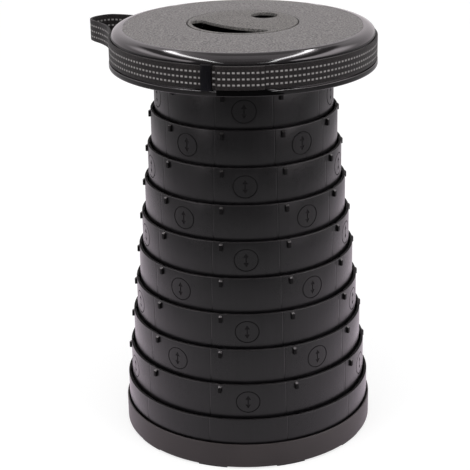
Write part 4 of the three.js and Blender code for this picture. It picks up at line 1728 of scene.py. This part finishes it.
@dataclass
class Studio:
    """The pale floor, the soft lamps, the white surroundings and the camera."""

    camera_distance: float = 1.47927
    camera_height: float = 0.7772
    camera_dip: float = 0.342694
    camera_roll: float = -0.014407
    lens: float = 109.56
    sensor: float = 36.0
    shift_x: float = -0.022075
    shift_y: float = -0.063877
    floor_size: float = 12.0
    floor_tone: float = 0.42
    floor_white: float = 1.085
    far_tone: float = 0.08
    far_reach: Range = (0.3, 1.7)
    far_ways: Range = (0.3, -0.4)
    behind_ways: Range = (-0.2, 0.6)
    mirror_ways: Range = (-1.75, 0.8)
    mirror_glow: float = 0.85
    mirror_least: float = 0.06
    floor_tint: Colour = (1.0, 0.84, 0.98, 1)
    tent_tint: Colour = (1.0, 0.93, 0.965, 1)
    tent_distance: float = 2.0
    tent_turn: float = radians(3)
    tent_left: TentSide = TentSide(
        ridge_height=1.92,
        ridge_slope=0.21,
        joint_height=1.12,
        joint_slope=0.36,
        joint_back=1.9,
        panel_front=-1.2,
        panel_glow=3.2,
        panel_fall=0.65,
        panel_back=1.1,
        route=((2.1, 2.35), (-1.5, 1.62), (-2.7, 0.88), (-4.0, 0.35)),
        glows=(15, 13, 6),
    )
    tent_right: TentSide = TentSide(
        ridge_height=2.12,
        ridge_slope=0.48,
        joint_height=1.1,
        joint_slope=0.58,
        joint_back=3.1,
        panel_front=-1.05,
        panel_glow=3.8,
        panel_fall=0.95,
        panel_back=0.95,
        route=((4.3, 4.15), (-1.3, 1.45), (-2.1, 0.3), (-3.6, 0.0)),
        glows=(16, 14, 4),
    )
    strip_width: float = 0.32
    seat_height: float = 0.447
    aim_height: float = 0.35
    softboxes: tuple[tuple[str, Place, Corner, float], ...] = (
        ("top_softbox", (0.0, -0.5, 1.9), (1.2, 1.2), 6.8),
        ("left_softbox", (-1.6, -1.5, 1.0), (1.0, 1.4), 12),
        ("right_softbox", (1.6, -1.5, 1.0), (1.0, 1.4), 12),
    )

    def camera(self) -> None:
        """Set up the camera at the photograph's viewing angle."""
        data = bpy.data.cameras.new("photo_camera")
        data.lens, data.sensor_width, data.sensor_fit = self.lens, self.sensor, "HORIZONTAL"
        data.shift_x, data.shift_y, data.clip_end = self.shift_x, self.shift_y, 100
        camera = bpy.data.objects.new("photo_camera", data)
        place = Matrix.Translation((0, -self.camera_distance, self.camera_height))
        tilt = Matrix.Rotation(math.pi / 2 - self.camera_dip, 4, "X")
        camera.matrix_world = place @ tilt @ Matrix.Rotation(self.camera_roll, 4, "Z")
        bpy.context.scene.collection.objects.link(camera)
        bpy.context.scene.camera = camera

    def floor(self) -> None:
        """Lay the pale floor, which looks white, keeps the stool's shadow and is dimmer in front."""
        Workbench.clear()
        bpy.ops.mesh.primitive_plane_add(size=self.floor_size)
        floor = bpy.context.object
        floor.name = "studio_floor"
        material, board, shader, places = new_material("studio_floor")
        reach = board.read("ShaderNodeVectorMath", {0: places}, "Value", operation="LENGTH")
        north = board.split(board.read("ShaderNodeVectorMath", {0: places}, operation="NORMALIZE"))[1]
        glossy = board.ray("Glossy")
        behind = north.rise(*self.behind_ways)
        near = reach * (behind * 0.83 - 1.6) + (behind * -0.3 + 1.6)
        mirrored = north.rise(*self.mirror_ways) * self.mirror_glow * near.most(self.mirror_least)
        dimmed = reach.rise(*self.far_reach) * glossy * north.rise(*self.far_ways)
        seen = board.ray("Camera").most(board.ray("Transmission"))
        look = {
            "Base Color": board.mix(dimmed, shade(WHITE, self.floor_tone), shade(WHITE, self.far_tone)),
            "Roughness": 0.9,
            "Specular IOR Level": 0.1,
            "Emission Color": board.mix(glossy, WHITE, self.floor_tint),
            "Emission Strength": (seen * (self.floor_white - self.floor_tone)).most(glossy * mirrored),
        }
        board.feed(shader, look)
        floor.data.materials.append(material)

    def _tent(self, board: NodeBoard) -> Signal:
        """Draw the white light tent that polished plastic mirrors, with dark joints at its edges.

        Args:
            board: The board of the world's nodes.

        Returns:
            How bright the tent is in a direction.
        """
        way = board.read("ShaderNodeTexCoord", None, "Generated")
        turn = {"Vector": way, "Angle": self.tent_turn}
        east, north, rise = board.split(board.read("ShaderNodeVectorRotate", turn, rotation_type="Z_AXIS"))
        on_right = board.maths("GREATER_THAN", east, 0.0)

        def side(field: str) -> Signal:
            """Give a number of the side that the direction lies on."""
            left, right = getattr(self.tent_left, field), getattr(self.tent_right, field)
            return on_right * (right - left) + left

        across = abs(east).most(0.001)
        back, up = north / across, rise / across
        off_ridge = abs(up - (back * side("ridge_slope") + side("ridge_height")))
        above_joint = up - (back * side("joint_slope") + side("joint_height"))
        behind = back - side("panel_front")
        inward = behind.least(-0.28 - above_joint)
        fall = (inward / side("panel_fall")).rise(1.0, 0.35) * back.rise(side("panel_back"), 0.2)
        panel = inward.rise(-0.12, 0.16) * (fall * side("panel_glow") + 0.95)
        shoulder = off_ridge.rise(0.55, 0.1) * 3.5 * back.rise(-1.7, -1.2)
        roof = above_joint.rise(0.2, 0.55) * (shoulder + 1.0)
        past_joint = (back - side("joint_back")).rise(-0.7, 0.1)
        bright = (panel.most(roof) + 0.1).most(past_joint)
        open_front = rise.rise(0.42, 0.68) * 0.42 + 0.24
        in_front = (behind + 0.4).rise(0.15, -0.25) * rise.rise(1.0, 0.9)
        bright = bright + in_front * (open_front - bright)
        gap = across.rise(0.26, 0.1) * north.rise(0.3, 0.5) * rise.rise(0.35, 0.5)
        return bright * (1.0 - gap * 0.68)

    def world(self) -> None:
        """Make the surroundings white to the eye, a light tent in reflections, and soft as light."""
        world = bpy.data.worlds.new("studio")
        bpy.context.scene.world = world
        world.use_nodes = True
        board = NodeBoard(world.node_tree)
        up = board.split(board.read("ShaderNodeTexCoord", None, "Generated"))[2]
        soft = up.rise(0.0, 1.0) * 0.55 + 0.35
        glossy, seen = board.ray("Glossy"), board.ray("Camera").most(board.ray("Transmission"))
        light = board.read("ShaderNodeMix", {0: glossy, 2: soft, 3: self._tent(board)})
        look = {"Strength": light.most(seen), "Color": board.mix(glossy, WHITE, self.tent_tint)}
        board.feed(world.node_tree.nodes["Background"], look)

    @staticmethod
    def lamp(name: str, size: Corner, power: float) -> Piece:
        """Hang an oblong lamp that the camera doesn't see.

        Args:
            name: The lamp's name.
            size: Its width and height.
            power: Its power in watts.

        Returns:
            The lamp, at the origin.
        """
        data = bpy.data.lights.new(name, "AREA")
        data.shape, data.energy = "RECTANGLE", power
        data.size, data.size_y = size
        lamp = bpy.data.objects.new(name, data)
        lamp.visible_camera = False
        bpy.context.scene.collection.objects.link(lamp)
        return lamp

    def strip(
        self, name: str, start: Vector, end: Vector, glow: float, polished: bpy.types.Collection
    ) -> None:
        """Hang one thin strip of light along an edge of the tent, mirrored by polished plastic alone.

        Args:
            name: The strip's name.
            start: One of its ends.
            end: Its other end.
            glow: How bright it looks, where 1 is white.
            polished: The pieces that mirror it.
        """
        along = (end - start).normalized()
        outward = (start + end) / 2 - Vector((0, 0, self.seat_height))
        outward = (outward - outward.dot(along) * along).normalized()
        size = ((end - start).length, self.strip_width)
        lamp = self.lamp(name, size, glow * math.pi * size[0] * size[1])
        axes = Matrix((along, outward.cross(along), outward)).transposed().to_4x4()
        lamp.matrix_world = Matrix.Translation((start + end) / 2) @ axes
        lamp.visible_diffuse = False
        lamp.light_linking.receiver_collection = polished

    def polish(self, piece: Piece) -> int:
        """Hang the strips that a polished piece mirrors.

        Args:
            piece: The polished piece.

        Returns:
            How many strips were hung.
        """
        polished = bpy.data.collections.new("polished_pieces")
        polished.objects.link(piece)
        turn, seat = Matrix.Rotation(-self.tent_turn, 4, "Z"), Vector((0, 0, self.seat_height))
        count = 0
        for name, sign, side in (("left", -1, self.tent_left), ("right", 1, self.tent_right)):
            knots = [turn @ (Vector((sign, back, up)) * self.tent_distance + seat) for back, up in side.route]
            for start, end, glow in zip(knots, knots[1:], side.glows):
                count += 1
                self.strip(f"{name}_strip_{count}", start, end, glow, polished)
        return count

    def build(self) -> int:
        """Set up the camera, the floor, the surroundings and the soft lamps.

        Returns:
            How many things were set up.
        """
        self.camera()
        self.floor()
        self.world()
        for name, place, size, power in self.softboxes:
            lamp = self.lamp(name, size, power)
            lamp.location = place
            down = Vector((0, 0, self.aim_height)) - lamp.location
            lamp.rotation_euler = down.to_track_quat("-Z", "Y").to_euler()
            lamp.visible_glossy = False
        bpy.context.scene.view_settings.view_transform = "Standard"
        return len(self.softboxes) + 3


class Stool:
    """The whole stool, dressed."""

    def __init__(self) -> None:
        """Make the finishes."""
        effects = Effects()
        recipes = {
            "section": MouldedPlastic(
                "section_plastic",
                (0.0038, 0.0034, 0.004, 1),
                (0.0052, 0.0047, 0.0055, 1),
                0.3,
                seam_count=10.0,
                streaks=0.6,
                scuffs=0.12,
                # The rims' upward faces get painted shade for the joints between sections.
                dull_and_shaded_rims=True,
            ),
            # The engraved marks' floors: a darker, duller copy of the wall plastic, painted shade in the
            # grooves.
            "mark": MouldedPlastic(
                "painted_shade_mark_plastic",
                (0.003, 0.0027, 0.003, 1),
                (0.005, 0.0045, 0.005, 1),
                0.6,
                specular=0.25,
                scuffs=0.05,
            ),
            # The pegs: the wall plastic painted near-black, painted shade for the shadow beside and under
            # them.
            "peg": MouldedPlastic(
                "painted_shade_peg_plastic",
                (0.0012, 0.0011, 0.0012, 1),
                (0.0025, 0.0023, 0.0025, 1),
                0.6,
                specular=0.15,
                scuffs=0.05,
            ),
            # The pegs' sloping tops: painted much lighter and glossier, a painted highlight for the overhead
            # light that they catch.
            "slope": MouldedPlastic(
                "painted_highlight_peg_plastic",
                (0.024, 0.022, 0.022, 1),
                (0.05, 0.047, 0.046, 1),
                0.28,
                specular=0.9,
                scuffs=0.2,
            ),
            "base": MouldedPlastic(
                "base_plastic", (0.022, 0.0178, 0.0178, 1), (0.031, 0.0256, 0.0256, 1), 0.5, scuffs=0.3
            ),
            "seat": SeatPlastic(
                "seat_plastic",
                (0.0115, 0.0105, 0.011, 1),
                (0.0165, 0.015, 0.0155, 1),
                # Matte top: pale flecks, lightened further with painted sheen for the overhead light.
                (0.078, 0.0735, 0.0725, 1),
                (0.192, 0.182, 0.179, 1),
                matte_radius=126.2 * MM,
                matte_floor=449 * MM,
            ),
            "insert": SeatPlastic(
                "insert_plastic",
                (0.02, 0.019, 0.018, 1),
                (0.03, 0.028, 0.027, 1),
                # Matte face: pale flecks, lightened further with painted sheen for the overhead light.
                (0.078, 0.075, 0.0715, 1),
                (0.192, 0.183, 0.175, 1),
                matte_radius=1.0,
                matte_floor=0.0,
                speckle_depth=0.05 * MM,
            ),
            # Near-black and matte: painted shadow for the strip under the strap's tail.
            "tail_shadow": MouldedPlastic(
                "painted_tail_shadow",
                (0.0008, 0.0008, 0.0009, 1),
                (0.0016, 0.0015, 0.0016, 1),
                0.9,
                specular=0.05,
                scuffs=0.0,
            ),
            "keeper": MouldedPlastic(
                "keeper_plastic",
                (0.0016, 0.0016, 0.0028, 1),
                (0.003, 0.003, 0.005, 1),
                0.34,
                specular=0.22,
                scuffs=0.05,
            ),
            "rubber": MouldedPlastic(
                "pad_rubber",
                (0.012, 0.0115, 0.012, 1),
                (0.02, 0.019, 0.02, 1),
                0.8,
                specular=0.2,
                grain=1500.0,
            ),
            "steel": PlatedSteel("screw_steel", (0.42, 0.42, 0.43, 1)),
        }
        self.finishes = {key: recipe.material(effects) for key, recipe in recipes.items()}
        strap = Webbing(
            "strap_webbing", (0.0012, 0.001, 0.001, 1), (0.019, 0.0152, 0.0152, 1), (0.36, 0.342, 0.338, 1)
        )
        self.finishes["strap"] = strap.material()

    def hidden_nodes(self) -> int:
        """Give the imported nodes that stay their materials.

        Returns:
            How many nodes stay.
        """
        stay = {name: self.finishes["steel"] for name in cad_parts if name.startswith("seat_screw")}
        stay["clamp_ring"] = self.finishes["base"]
        for name, material in stay.items():
            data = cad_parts[name].data
            data.materials.clear()
            data.materials.append(material)
        return len(stay)

    def build(self) -> None:
        """Model each sub-assembly and report it."""
        look = self.finishes
        walls = [look[key] for key in ("section", "mark", "peg", "slope")]
        log.info("tube stack: %d pieces", TubeStack().build(walls))
        log.info("base: %d pieces", BasePan().build(look["base"], look["rubber"]))
        log.info("seat cover: %d piece", SeatShell().build(look["seat"]))
        log.info("seat insert: %d piece", SeatInsert().build(look["insert"]))
        log.info("carry strap: %d pieces", CarryStrap().build(look["strap"], look["tail_shadow"], look["keeper"]))
        log.info("packed nodes that stay: %d", self.hidden_nodes())


def main() -> None:
    """Build the studio and the stool in order."""
    studio = Studio()
    log.info("studio: %d things", studio.build())
    Stool().build()
    log.info("strips of light: %d", studio.polish(bpy.data.objects["smooth_seat_cover"]))


if __name__ == "__main__":
    main()
